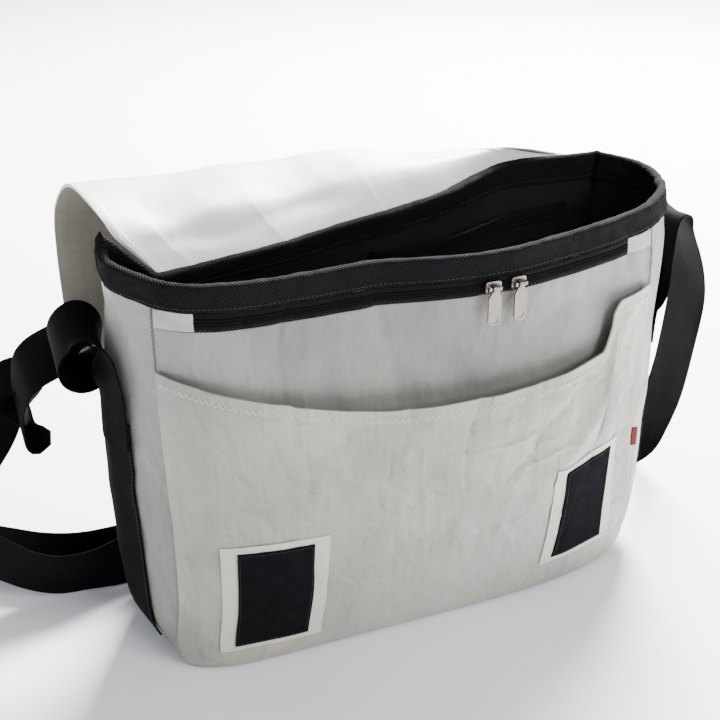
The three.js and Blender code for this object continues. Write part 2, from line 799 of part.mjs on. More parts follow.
// Rectangle of cloth on the pocket, from one offset to another in front of it
function addPatch(name, pocket, left, top, width, height, from, to, finish) {
  const middle = pocket.lastRow / 2;
  const start = pocket.columnAtX(middle, left);
  const end = pocket.walk(middle, start, width);
  const low = pocket.rowAtHeight(start, top - height);
  const high = pocket.rowAtHeight(start, top);
  const forward = new THREE.Vector3(0, -1, 0);
  const grid = (offset) => {
    const lifted = pocket.shifted(offset, () => forward);
    return stepsBetween(low, high).map((row) => (
      stepsBetween(start, end).map((column) => lifted.point(row, column))));
  };
  add(name, slab(grid(to), grid(from)), finish);
}

function makePatch(side, pocket, left, top) {
  const margin = reinforcementMargin;
  const frameFace = patchGap + reinforcementWall;
  const patchBack = frameFace + patchGap;
  addPatch(`reinforcement_${side}`, pocket, left - margin, top + margin / 2,
    patchWidth + 2 * margin, patchHeight + margin, patchGap, frameFace, 'pocketCloth');
  addPatch(`fastener_patch_${side}`, pocket, left, top,
    patchWidth, patchHeight, patchBack, patchBack + patchWall, 'hookLoop');
}

// Webbing sewn up a gusset over its ridge, shifted along the gusset by a distance
function makeSideBand(side, ridgeColumn, shift) {
  const heights = [bandBottom, ...rowHeights.filter((h) => h > bandBottom && h < bandTop), bandTop];
  const columns = (sheet, row) => {
    const from = sheet.walk(row, ridgeColumn, shift - beltWidth / 2);
    const to = sheet.walk(row, ridgeColumn, shift + beltWidth / 2);
    return [from, ridgeColumn, ridgeColumn + 1, to];
  };
  const outer = shellPatch(bandGap + beltThickness, heights, columns);
  const inner = shellPatch(bandGap, heights, columns);
  add(`side_band_${side}`, slab(outer, inner), 'webbing');
}

// Flap of one sheet: sewn to the back under the rim, up over a ridge and down behind.
// Columns: share of the way back and up from the rim to the ridge, and on from there of the
// way back and down to the free end; spread is the share of the flap's width that is reached
const flapPath = [
  // along, back, rise, behind, hang, spread
  [0.00, 0.00, 0.00, 0.00, 0.00, 0.00],
  [0.06, 0.14, 0.28, 0.00, 0.00, 0.35],
  [0.12, 0.26, 0.48, 0.00, 0.00, 0.62],
  [0.20, 0.40, 0.66, 0.00, 0.00, 0.76],
  [0.29, 0.66, 0.86, 0.00, 0.00, 0.88],
  [0.38, 1.00, 1.00, 0.00, 0.00, 1.00],
  [0.45, 1.00, 1.00, 0.40, 0.04, 1.14],
  [0.53, 1.00, 1.00, 0.78, 0.16, 1.26],
  [0.66, 1.00, 1.00, 0.96, 0.38, 1.28],
  [0.82, 1.00, 1.00, 1.00, 0.68, 1.24],
  [1.00, 1.00, 1.00, 1.00, 1.00, 1.20],
];

// Dents of the thrown-back flap, as shares of the flap and of the ridge's height
const flapDents = [
  // across, along, spanAcross, spanAlong, depth
  [0.10, 0.20, 0.06, 0.09, 0.24],
  [0.32, 0.22, 0.12, 0.09, 0.16],
  [0.50, 0.30, 0.08, 0.08, -0.10],
  [0.66, 0.34, 0.09, 0.10, 0.12],
  [0.86, 0.70, 0.08, 0.30, 0.25],
  [0.40, 0.75, 0.07, 0.30, -0.20],
];

// Fall of the ridge towards the flap's right end, where it lies on the rim's height
function ridgeLevel(u) {
  return 1 - 0.35 * smooth((u - 0.5) / 0.3) - 0.55 * smooth((u - 0.8) / 0.2);
}

function flapDent(u, along) {
  let dent = 0;
  for (const [across, place, spanAcross, spanAlong, depth] of flapDents) {
    dent += depth * ridgeHeight * hump(u, across, spanAcross) * hump(along, place, spanAlong);
  }
  return dent;
}

function flapSheet() {
  const back = shell(bindingOutside + bindingGap + flapWall / 2);
  const rows = [[], ...flapPath.map(() => [])];
  for (let column = leftBack; column >= rightBack; column -= 1) {
    const u = (leftBack - column) / backSteps;
    const rim = back.point(rowOf(1), column);
    const wideX = (u - 0.5) * flapWidth;
    const ridgeZ = rimHeight + ridgeHeight * ridgeLevel(u);
    const ridgeY = ridgeDepth * (1 - 0.12 * smooth((u - 0.7) / 0.3));
    rows[0].push(back.point(rowOf(bindingRow), column));
    flapPath.forEach(([along, backShare, rise, behind, hang, spread], r) => {
      const dent = flapDent(u, along);
      const hanging = smooth((along - 0.38) / 0.2);
      rows[r + 1].push(new THREE.Vector3(
        mix(rim.x, wideX, spread),
        mix(rim.y, ridgeY, backShare) + behind * flapHangDepth - dent * hanging * (1 - hang),
        mix(rim.z + clothGap, ridgeZ, rise) - hang * flapHang - dent * (1 - hanging) * rise,
      ));
    });
  }
  return new Sheet(rows);
}

function makeFlap() {
  const sheet = flapSheet();
  const centre = new THREE.Vector3(0, 0, rimHeight / 2);
  const outward = (point) => point.clone().sub(centre);
  const outer = sheet.shifted(flapWall / 2, outward);
  const inner = sheet.shifted(-flapWall / 2, outward);
  add('flap', slab(outer.rows, inner.rows), 'coatedCloth');
}

// Flat pocket sewn to the back of the lining, standing a little open at its top
function makeInnerPocket() {
  const columns = stepsBetween(rightBack + innerPocketEnd, rightBack + innerPocketStart);
  const last = columns.length - 1;
  const topDrop = innerPocketDrop / rimHeight;
  const tall = innerPocketHeight / rimHeight;
  const foot = 1 - topDrop - tall;
  const grid = (extra) => {
    const heights = [foot, ...rowHeights.filter((h) => h > foot && h < 1 - topDrop), 1 - topDrop];
    return heights.map((height) => columns.map((column, c) => {
      const v = 1 - (1 - topDrop - height) / tall;
      const stand = innerPocketStand * Math.sin(Math.PI * c / last) ** 0.8 * smooth(v / 0.9);
      return shell(liningInside - pocketGap - stand - extra).point(rowOf(height), column);
    }));
  };
  const face = new Sheet(grid(innerPocketWall));
  add('inner_pocket', slab(face.rows, grid(0)), 'liningCloth');
  const forward = new THREE.Vector3(0, -1, 0);
  const edge = face.point(face.lastRow, last / 2).z;
  const tape = face.rowAtHeight(last / 2, edge - innerBindingHeight);
  const strip = (offset) => {
    const lifted = face.shifted(offset, () => forward);
    return [tape, face.lastRow].map((row) => columns.map((column, c) => lifted.point(row, c)));
  };
  add('inner_pocket_binding', slab(strip(patchGap + tapeWall), strip(patchGap)), 'blackTape');
}

// Ribbon of webbing along a list of places. Columns: x as a share of the half width up to
// the bag's side and of the belt's spread beyond it, y as a share of the half depth,
// z as a share of the rim height, then the direction of the ribbon's width. Its points stay
// a list, because webbing lies as it falls.
const rightBelt = [
  // x, y, z, widthX, widthY, widthZ
  [1.236, 0.00, 0.700, 0, 1, 0],
  [1.240, 0.00, 0.790, 0, 1, 0],
  [1.250, 0.01, 0.870, 0, 1, 0],
  [1.278, 0.04, 0.915, 0.1, 1, 0],
  [1.330, 0.08, 0.913, 0.15, 1, 0],
  [1.392, 0.14, 0.850, 0.15, 1, 0],
  [1.470, 0.27, 0.752, 0.1, 1, 0],
  [1.520, 0.44, 0.655, 0, 1, 0],
  [1.568, 0.76, 0.482, 0, 1, 0],
  [1.600, 1.06, 0.322, 0, 1, 0],
  [1.602, 1.32, 0.186, 0, 1, 0],
  [1.568, 1.56, 0.070, 0, 1, 0],
  [1.480, 1.72, 0.017, 0, 1, 0],
  [1.300, 1.80, 0.006, 0, 1, 0],
  [0.800, 1.82, 0.006, 0, 1, 0],
  [0.350, 1.78, 0.007, 0, 1, 0.02],
  [0.100, 1.72, 0.030, 0, 1, 0.25],
  [-0.130, 1.58, 0.068, 0, 0.75, 0.75],
  [-0.350, 1.48, 0.090, 0, 0.1, 1],
];
const leftBelt = [
  // x, y, z, widthX, widthY, widthZ
  [-1.145, -0.13, 0.628, -0.3, 0.95, 0.1],
  [-1.144, -0.11, 0.686, -0.3, 0.95, 0.1],
  [-1.141, -0.07, 0.737, -0.15, 0.97, 0.15],
  [-1.139, 0.04, 0.785, 0.05, 0.95, 0.3],
  [-1.158, 0.13, 0.824, 0.05, 0.95, 0.3],
  [-1.211, 0.22, 0.840, 0.05, 0.95, 0.3],
  [-1.263, 0.31, 0.821, 0.05, 0.95, 0.3],
  [-1.300, 0.40, 0.779, 0.05, 0.95, 0.3],
  [-1.289, 0.51, 0.731, 0.05, 0.95, 0.3],
  [-1.247, 0.62, 0.699, 0.05, 0.95, 0.3],
  [-1.189, 0.73, 0.686, 0.05, 0.95, 0.3],
  [-1.142, 0.84, 0.699, 0.05, 0.95, 0.3],
  [-1.126, 0.91, 0.724, 0.05, 0.95, 0.3],
  [-1.153, 0.96, 0.740, 0.05, 0.95, 0.3],
  [-1.211, 1.02, 0.731, 0, 0.92, 0.4],
  [-1.279, 1.07, 0.708, 0, 0.88, 0.47],
  [-1.347, 1.13, 0.686, 0, 0.88, 0.47],
  [-1.395, 1.18, 0.654, 0, 0.88, 0.47],
  [-1.416, 1.24, 0.609, 0, 0.88, 0.47],
  [-1.421, 1.31, 0.558, 0, 0.92, 0.4],
  [-1.416, 1.36, 0.516, 0.05, 0.95, 0.3],
  [-1.395, 1.40, 0.487, 0.05, 0.95, 0.3],
  [-1.368, 1.44, 0.484, 0.05, 0.95, 0.3],
  [-1.353, 1.51, 0.510, 0.05, 0.95, 0.3],
  [-1.358, 1.65, 0.548, 0.05, 0.95, 0.3],
  [-1.389, 1.80, 0.574, 0, 0.8, 0.6],
  [-1.437, 1.89, 0.561, 0, 0.65, 0.76],
  [-1.484, 1.89, 0.519, 0, 0.6, 0.8],
  [-1.542, 1.80, 0.471, 0, 0.55, 0.84],
  [-1.632, 1.65, 0.410, 0, 0.4, 0.9],
  [-1.705, 1.49, 0.337, 0, 0.2, 1],
  [-1.705, 1.36, 0.253, 0, 0, 1],
  [-1.642, 1.25, 0.189, 0, -0.2, 1],
  [-1.553, 1.18, 0.147, 0, -0.3, 0.95],
  [-1.453, 1.11, 0.109, 0, -0.34, 0.94],
  [-1.342, 1.07, 0.085, 0, -0.34, 0.94],
  [-1.211, 1.09, 0.079, 0, -0.3, 0.95],
  [-1.084, 1.15, 0.079, 0, -0.1, 1],
  [-0.968, 1.24, 0.082, 0, 0, 1],
];

// Belt's x in millimetres from its share
function beltX(share) {
  const within = Math.min(Math.abs(share), 1);
  const beyond = Math.abs(share) - within;
  return Math.sign(share) * (within * halfWidth + beyond * beltSpread);
}

function routePlace([x, y, z, ...across]) {
  return {
    point: new THREE.Vector3(beltX(x), y * halfDepth, z * rimHeight),
    across: new THREE.Vector3(...across).normalize(),
  };
}

// Ribbon swept along places, with smooth curves between them
function ribbon(places, spacing) {
  const path = new THREE.CatmullRomCurve3(places.map((place) => place.point), false, 'centripetal');
  const turns = new THREE.CatmullRomCurve3(places.map((place) => place.across), false, 'centripetal');
  const stations = [];
  for (let k = 0; k < places.length - 1; k += 1) {
    const length = places[k].point.distanceTo(places[k + 1].point);
    const parts = Math.max(1, Math.round(length / spacing));
    for (let i = 0; i < parts; i += 1) stations.push((k + i / parts) / (places.length - 1));
  }
  stations.push(1);
  return loft(stations.map((t) => {
    const centre = path.getPoint(t);
    const tangent = path.getTangent(t);
    const across = turns.getPoint(t);
    across.addScaledVector(tangent, -across.dot(tangent)).setLength(beltWidth / 2);
    const normal = tangent.clone().cross(across).setLength(beltThickness / 2);
    return [[1, 1], [1, -1], [-1, -1], [-1, 1]].map(([a, b]) => (
      centre.clone().addScaledVector(across, a).addScaledVector(normal, b)));
  }));
}

// Places of the webbing where it passes the buckle, one list for each belt end. The left
// belt is folded round the buckle's left bar; the right belt weaves over the middle bar.
function buckleWeave() {
  const z = buckleWidth / 2 + buckleLift;
  const across = new THREE.Vector3(0, 0, 1);
  const layer = (buckleThickness + beltThickness) / 2 + clothGap;
  const tail = 2 * layer;
  const edge = buckleBar / 2 + clothGap;
  const pitch = buckleBar + buckleSlot;
  const fold = -pitch + buckleBar / 2 + beltThickness;
  const places = (list) => list.map(([x, y]) => (
    { point: new THREE.Vector3(buckleX + x, buckleY + y, z), across }));
  const right = places([
    [pitch + buckleLead, layer],
    [pitch, layer],
    [pitch - edge, layer],
    [pitch / 2, 0],
    [edge, -layer],
    [-edge, -layer],
    [-0.45 * pitch, 0.2 * layer],
    [-0.6 * pitch, 0.7 * tail],
    [-pitch + edge, tail],
    [-pitch - buckleLead, tail],
  ]);
  const left = places([
    [-pitch - buckleLead, -layer],
    [-pitch, -layer],
    [fold - 1.2, -layer],
    [fold, -0.55 * layer],
    [fold, 0.55 * layer],
    [fold - 1.2, layer],
    [-pitch, layer],
    [-pitch - buckleLead, layer],
  ]);
  return { left, right };
}

// Free end of the belt, lying on its edge behind the other layer. Columns as in the belts.
const beltTail = [
  // x, y, z, widthX, widthY, widthZ
  [-0.958, 1.45, 0.083, 0, 0, 1],
  [-1.079, 1.44, 0.080, 0, 0, 1],
  [-1.232, 1.47, 0.079, 0, 0, 1],
  [-1.368, 1.65, 0.079, 0, 0, 1],
  [-1.479, 1.93, 0.079, 0, 0, 1],
  [-1.600, 2.25, 0.079, 0, 0, 1],
  [-1.721, 2.56, 0.079, 0, 0, 1],
];

function makeBelt() {
  makeSideBand('left', leftBack + gussetSteps / 2, bandShift);
  makeSideBand('right', rightFront + gussetSteps / 2, bandShift);
  const weave = buckleWeave();
  const right = [...rightBelt.map(routePlace), ...weave.right, ...beltTail.map(routePlace)];
  const left = [...leftBelt.map(routePlace), ...weave.left];
  add('shoulder_belt_right', ribbon(right, 14), 'webbing');
  add('shoulder_belt_left', ribbon(left, 9), 'webbing');
  makeBuckle();
}

// Plain two-slot sliding buckle that joins the two belt ends, standing on its edge
function makeBuckle() {
  const length = 3 * buckleBar + 2 * buckleSlot;
  const opening = beltWidth + 2 * clothGap;
  let solid = toSolid(new THREE.BoxGeometry(length, buckleThickness, buckleWidth));
  for (const side of [-1, 1]) {
    const slot = new THREE.BoxGeometry(buckleSlot, 2 * buckleThickness, opening);
    slot.translate(side * (buckleBar + buckleSlot) / 2, 0, 0);
    solid = solid.subtract(toSolid(slot));
  }
  const buckle = add('belt_buckle', toGeometry(solid), 'blackPlastic');
  buckle.position.set(buckleX, buckleY, buckleWidth / 2 + buckleLift);
}

// Small folded tag caught in the right front seam
function makeTag() {
  const sheet = shell(clothGap);
  const row = rowOf(tagPlace);
  const column = rightFront + 0.15;
  const root = sheet.point(row, column);
  const geometry = new THREE.BoxGeometry(tagWidth, tagWall, tagHeight);
  geometry.translate(tagWidth / 2, 0, 0);
  const tag = add('side_tag', mergedPositions(geometry), 'redTape');
  tag.position.set(root.x + clothGap, root.y - tagWall / 2, root.z);
}

makeBody();
makeZip();
makePocket();
makeInnerPocket();
makeFlap();
makeBelt();
makeTag();

export default bag;
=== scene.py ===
"""An open laptop messenger bag, dressed as cloth, tape, webbing and metal.

Sizes are in millimetres in the classes below and become metres when a mesh is made.
"""

import json
import logging
import math
from collections.abc import Callable, Sequence
from dataclasses import dataclass, field
from enum import Enum

import bmesh
import bpy
import numpy as np
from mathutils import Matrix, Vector

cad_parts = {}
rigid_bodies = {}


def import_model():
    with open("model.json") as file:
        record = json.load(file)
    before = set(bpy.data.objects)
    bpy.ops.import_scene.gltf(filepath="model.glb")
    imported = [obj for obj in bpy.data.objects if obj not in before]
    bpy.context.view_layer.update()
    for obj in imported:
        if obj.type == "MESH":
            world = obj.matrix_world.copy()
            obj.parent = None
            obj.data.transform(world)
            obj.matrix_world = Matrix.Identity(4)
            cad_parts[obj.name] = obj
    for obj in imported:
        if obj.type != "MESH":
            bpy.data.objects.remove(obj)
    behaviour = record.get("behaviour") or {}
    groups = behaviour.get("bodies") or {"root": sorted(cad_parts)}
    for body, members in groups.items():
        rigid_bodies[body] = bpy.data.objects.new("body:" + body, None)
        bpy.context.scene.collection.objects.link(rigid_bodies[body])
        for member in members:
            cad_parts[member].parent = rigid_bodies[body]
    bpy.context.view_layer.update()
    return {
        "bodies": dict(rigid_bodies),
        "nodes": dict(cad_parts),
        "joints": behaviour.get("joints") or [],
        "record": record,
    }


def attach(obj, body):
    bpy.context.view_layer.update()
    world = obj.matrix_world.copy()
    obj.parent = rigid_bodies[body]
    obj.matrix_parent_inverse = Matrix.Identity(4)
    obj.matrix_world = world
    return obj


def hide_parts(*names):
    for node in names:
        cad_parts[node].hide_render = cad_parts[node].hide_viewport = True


LOG = logging.getLogger("bag")
Array = np.ndarray
MM = 0.001

# The bag's ring in columns, counter-clockwise from its front left seam.
GUSSET_COLUMNS = 6
BACK_COLUMNS = 16
RIGHT_FRONT = 22
RIGHT_BACK = RIGHT_FRONT + GUSSET_COLUMNS
LEFT_BACK = RIGHT_BACK + BACK_COLUMNS
RING = LEFT_BACK + GUSSET_COLUMNS
RIGHT_RIDGE = 25.0
LEFT_RIDGE = 47.0
FRONT_COLUMN_WIDTH = 17.0


def mix(a: Array | float, b: Array | float, t: Array | float) -> Array:
    """Straight blend from a to b."""
    return a + (b - a) * t


def smooth(t: Array | float) -> Array:
    """Soft step from 0 to 1: three t squared less two t cubed."""
    t = np.clip(t, 0.0, 1.0)
    return t * t * (3 - 2 * t)


def hump(t: Array | float, centre: float, spread: float) -> Array:
    """Bell of height 1: e to the minus square of the distance over the spread."""
    return np.exp(-(((t - centre) / spread) ** 2))


def unit(v: Array) -> Array:
    """Vectors of length one."""
    return v / np.maximum(np.linalg.norm(v, axis=-1, keepdims=True), 1e-9)


def ripple(u: Array, v: Array, size: float, seed: int, stretch: float = 1.0) -> Array:
    """Soft random relief: a sum of sixteen plane waves of random turn, length and phase.

    Args:
        u: Places across the cloth.
        v: Places along the cloth.
        size: Typical distance between two humps, in the units of u and v.
        seed: Seed of the waves.
        stretch: How many times longer the humps are along v than across it.

    Returns:
        Heights of about -1 to 1.
    """
    rng = np.random.default_rng(seed)
    turn = rng.uniform(0, np.pi, 16)
    rate = 2 * np.pi / size * rng.uniform(0.5, 1.5, 16)
    phase = rng.uniform(0, 2 * np.pi, 16)
    across = np.asarray(u)[..., None] * (rate * np.cos(turn))
    along = np.asarray(v)[..., None] * (rate * np.sin(turn) / stretch)
    return np.cos(across + along + phase).sum(-1) * 0.2


def swells(points: Array, size: float, seed: int, tall: float = 1.0) -> Array:
    """Soft random relief in space: a sum of sixteen plane waves through the points.

    Args:
        points: Points in millimetres.
        size: Typical distance between two humps.
        seed: Seed of the waves.
        tall: How many times longer the humps are upwards than level.

    Returns:
        Heights of about -1 to 1.
    """
    rng = np.random.default_rng(seed)
    way = unit(rng.normal(size=(16, 3))) * (1, 1, 1 / tall)
    rate = 2 * np.pi / size * rng.uniform(0.5, 1.5, 16)
    phase = rng.uniform(0, 2 * np.pi, 16)
    return np.cos(points @ (way * rate[:, None]).T + phase).sum(-1) * 0.2


def crease(u: Array, v: Array, start: Sequence[float], end: Sequence[float], width: float) -> Array:
    """Sharp fold line: e to the minus distance over the width, fading at its two ends.

    Args:
        u: Places across the cloth.
        v: Places along the cloth.
        start: Where the fold begins, (u, v).
        end: Where the fold ends, (u, v).
        width: Distance at which the fold has fallen to about a third.

    Returns:
        Heights of 0 to 1.
    """
    du, dv = end[0] - start[0], end[1] - start[1]
    length = math.hypot(du, dv)
    along = ((u - start[0]) * du + (v - start[1]) * dv) / length**2
    aside = ((u - start[0]) * dv - (v - start[1]) * du) / length
    window = smooth(along / 0.25) * smooth((1 - along) / 0.25)
    return np.exp(-np.abs(aside) / width) * window


def hermite(t: Array, start: Array, leaving: Array, end: Array, arriving: Array) -> Array:
    """Cubic between two values with given slopes at both ends.

    Args:
        t: Place between them, 0 to 1.
        start: The first value.
        leaving: Slope at the first value.
        end: The second value.
        arriving: Slope at the second value.

    Returns:
        The values between.
    """
    return (
        (2 * t**3 - 3 * t**2 + 1) * start
        + (t**3 - 2 * t**2 + t) * leaving
        + (3 * t**2 - 2 * t**3) * end
        + (t**3 - t**2) * arriving
    )


def table_at(table: Array, place: Array) -> Array:
    """Rows of a table at places between its own: a Hermite curve through the rows.

    Args:
        table: Rows whose first column is the place, rising.
        place: Places to read, any shape.

    Returns:
        The other columns at each place, in one more dimension.
    """
    at = table[:, 0]
    k = np.clip(np.searchsorted(at, place, side="right") - 1, 0, len(at) - 2)
    before, after = np.maximum(k - 1, 0), np.minimum(k + 2, len(at) - 1)
    span = at[k + 1] - at[k]
    t = ((place - at[k]) / span)[..., None]
    values = table[:, 1:]
    slope_in = (values[k + 1] - values[before]) * (span / (at[k + 1] - at[before]))[..., None]
    slope_out = (values[after] - values[k]) * (span / (at[after] - at[k]))[..., None]
    return hermite(t, values[k], slope_in, values[k + 1], slope_out)


def lengths(path: Array) -> Array:
    """Length along a path from its first point to each of its points."""
    return np.concatenate([[0], np.cumsum(np.linalg.norm(np.diff(path, axis=0), axis=1))])


def spread(start: float, end: float, count: int) -> Array:
    """Even places from a start to an end."""
    return np.linspace(start, end, count)


def sheet_normal(grid: Array) -> Array:
    """Unit normals of a grid of points: across differences crossed with along ones.

    Args:
        grid: Points of shape (rows, columns, 3).

    Returns:
        Normals of the same shape.
    """
    across = np.gradient(grid, axis=1)
    along = np.gradient(grid, axis=0)
    return unit(np.cross(across, along))


def flat_map(grid: Array) -> Array:
    """Flat cloth places of a grid, in metres: lengths along its rows and its columns.

    Args:
        grid: Points of shape (rows, columns, 3), in millimetres.

    Returns:
        Places of shape (rows, columns, 2).
    """
    across = np.linalg.norm(np.diff(grid, axis=1), axis=-1)
    along = np.linalg.norm(np.diff(grid, axis=0), axis=-1)
    u = np.concatenate([np.zeros((len(grid), 1)), np.cumsum(across, 1)], 1)
    v = np.concatenate([np.zeros((1, grid.shape[1])), np.cumsum(along, 0)], 0)
    middle = u[len(grid) // 2]
    return np.stack([np.broadcast_to(middle, u.shape), v], -1) * MM


# ------------------------------------------------------------------ shaders
class Wire:
    """A socket's value in an expression: its operators add Math nodes."""

    def __init__(self, paint: "Paint", socket: bpy.types.NodeSocket) -> None:
        """Wraps a socket.

        Args:
            paint: The material that the socket is in.
            socket: The output socket.
        """
        self.paint = paint
        self.socket = socket

    def math(self, operation: str, *others: "Wire | float", first: bool = True) -> "Wire":
        """One Math node.

        Args:
            operation: Its operation.
            others: The other operands.
            first: Whether this wire is the first operand.

        Returns:
            The node's value.
        """
        operands = [self, *others] if first else [*others, self]
        node = self.paint.node(
            "ShaderNodeMath", {"operation": operation}, dict(enumerate(operands))
        )
        return self.paint.wire(node)

    def __add__(self, other: "Wire | float") -> "Wire":
        """Sum."""
        return self.math("ADD", other)

    def __radd__(self, other: float) -> "Wire":
        """Sum with a number in front."""
        return self.math("ADD", other)

    def __sub__(self, other: "Wire | float") -> "Wire":
        """Difference."""
        return self.math("SUBTRACT", other)

    def __rsub__(self, other: float) -> "Wire":
        """Difference from a number."""
        return self.math("SUBTRACT", other, first=False)

    def __mul__(self, other: "Wire | float") -> "Wire":
        """Product."""
        return self.math("MULTIPLY", other)

    def __pow__(self, other: float) -> "Wire":
        """Power."""
        return self.math("POWER", other)

    def wave(self, pitch: float) -> "Wire":
        """Sine of 0 to 1 that comes again each pitch metres."""
        return (self * (2 * math.pi / pitch)).math("SINE") * 0.5 + 0.5

    def clamp(self) -> "Wire":
        """Value held between 0 and 1."""
        return self.math("MAXIMUM", 0.0).math("MINIMUM", 1.0)


class Paint:
    """A material being made, with one Principled shader."""

    def __init__(self, name: str) -> None:
        """Starts an empty material.

        Args:
            name: The material's name.
        """
        self.material = bpy.data.materials.new(name)
        self.material.use_nodes = True
        self.tree = self.material.node_tree
        self.tree.nodes.clear()
        self.shader = self.node("ShaderNodeBsdfPrincipled")
        output = self.node("ShaderNodeOutputMaterial")
        self.tree.links.new(self.shader.outputs["BSDF"], output.inputs["Surface"])

    def node(
        self, kind: str, settings: dict | None = None, values: dict | None = None
    ) -> bpy.types.Node:
        """Any node.

        Args:
            kind: Its type.
            settings: Its own settings, set first.
            values: Values or wires of its input sockets, by name or place.

        Returns:
            The node.
        """
        node = self.tree.nodes.new(kind)
        for key, value in (settings or {}).items():
            setattr(node, key, value)
        for key, value in (values or {}).items():
            self.feed(node.inputs[key], value)
        return node

    def feed(self, socket: bpy.types.NodeSocket, value: "Wire | float | Sequence[float]") -> None:
        """Sets a socket or links it.

        Args:
            socket: The input socket.
            value: A number, a colour or a wire.
        """
        if isinstance(value, Wire):
            self.tree.links.new(value.socket, socket)
        else:
            socket.default_value = value

    def wire(self, node: bpy.types.Node, output: str | int = 0) -> Wire:
        """An output of a node as a value to reckon with."""
        return Wire(self, node.outputs[output])

    def places(self) -> tuple[Wire, Wire, Wire]:
        """Where a point lies on the flat cloth.

        Returns:
            The two places in metres, and both as one vector.
        """
        uv = self.node("ShaderNodeUVMap", {"uv_map": "flat"})
        parts = self.node("ShaderNodeSeparateXYZ", {}, {0: self.wire(uv)})
        return self.wire(parts, 0), self.wire(parts, 1), self.wire(uv)

    def noise(self, vector: Wire, scale: float, detail: float = 3.0, rough: float = 0.55) -> Wire:
        """Fractal noise of 0 to 1.

        Args:
            vector: Where it is read.
            scale: Humps in a metre.
            detail: Finer layers.
            rough: Strength of the finer layers.

        Returns:
            The noise.
        """
        node = self.node(
            "ShaderNodeTexNoise",
            {"noise_dimensions": "3D"},
            {"Vector": vector, "Scale": scale, "Detail": detail, "Roughness": rough},
        )
        return self.wire(node, "Fac")

    def object_place(self, stretch: Sequence[float] = (1, 1, 1)) -> Wire:
        """Object coordinates, stretched along each axis.

        Args:
            stretch: Factor along each axis.

        Returns:
            The place as a vector.
        """
        place = self.node("ShaderNodeTexCoord")
        scaled = self.node(
            "ShaderNodeVectorMath",
            {"operation": "MULTIPLY"},
            {0: self.wire(place, "Object"), 1: tuple(stretch)},
        )
        return self.wire(scaled)

    def blend(
        self, share: Wire | float, a: "Wire | Sequence[float]", b: "Wire | Sequence[float]"
    ) -> Wire:
        """Colour between two colours.

        Args:
            share: Share of the second colour.
            a: First colour.
            b: Second colour.

        Returns:
            The colour.
        """
        values = {0: share, 6: a, 7: b}
        node = self.node("ShaderNodeMix", {"data_type": "RGBA"}, values)
        return self.wire(node, 2)

    def relief(
        self, height: Wire, distance: float, strength: float, base: Wire | None = None
    ) -> Wire:
        """Bump from a height, over an earlier bump.

        Args:
            height: Height of 0 to 1.
            distance: Real height of 1, in metres.
            strength: Share of it that shows.
            base: Normal of the relief below.

        Returns:
            The normal.
        """
        values = {"Height": height, "Distance": distance, "Strength": strength}
        if base is not None:
            values["Normal"] = base
        return self.wire(self.node("ShaderNodeBump", {}, values))


def rgba(colour: Sequence[float]) -> tuple[float, float, float, float]:
    """Colour with full cover."""
    return (*colour, 1.0)


class Weave(Enum):
    """Ways a cloth's threads lie."""

    SAIL = "laminated grid"
    TWILL = "diagonal ribs"
    HERRINGBONE = "ribs that turn back"
    WEBBING = "dense lengthwise ribs"
    PLAIN = "plain weave"
    PILE = "hooks and loops"


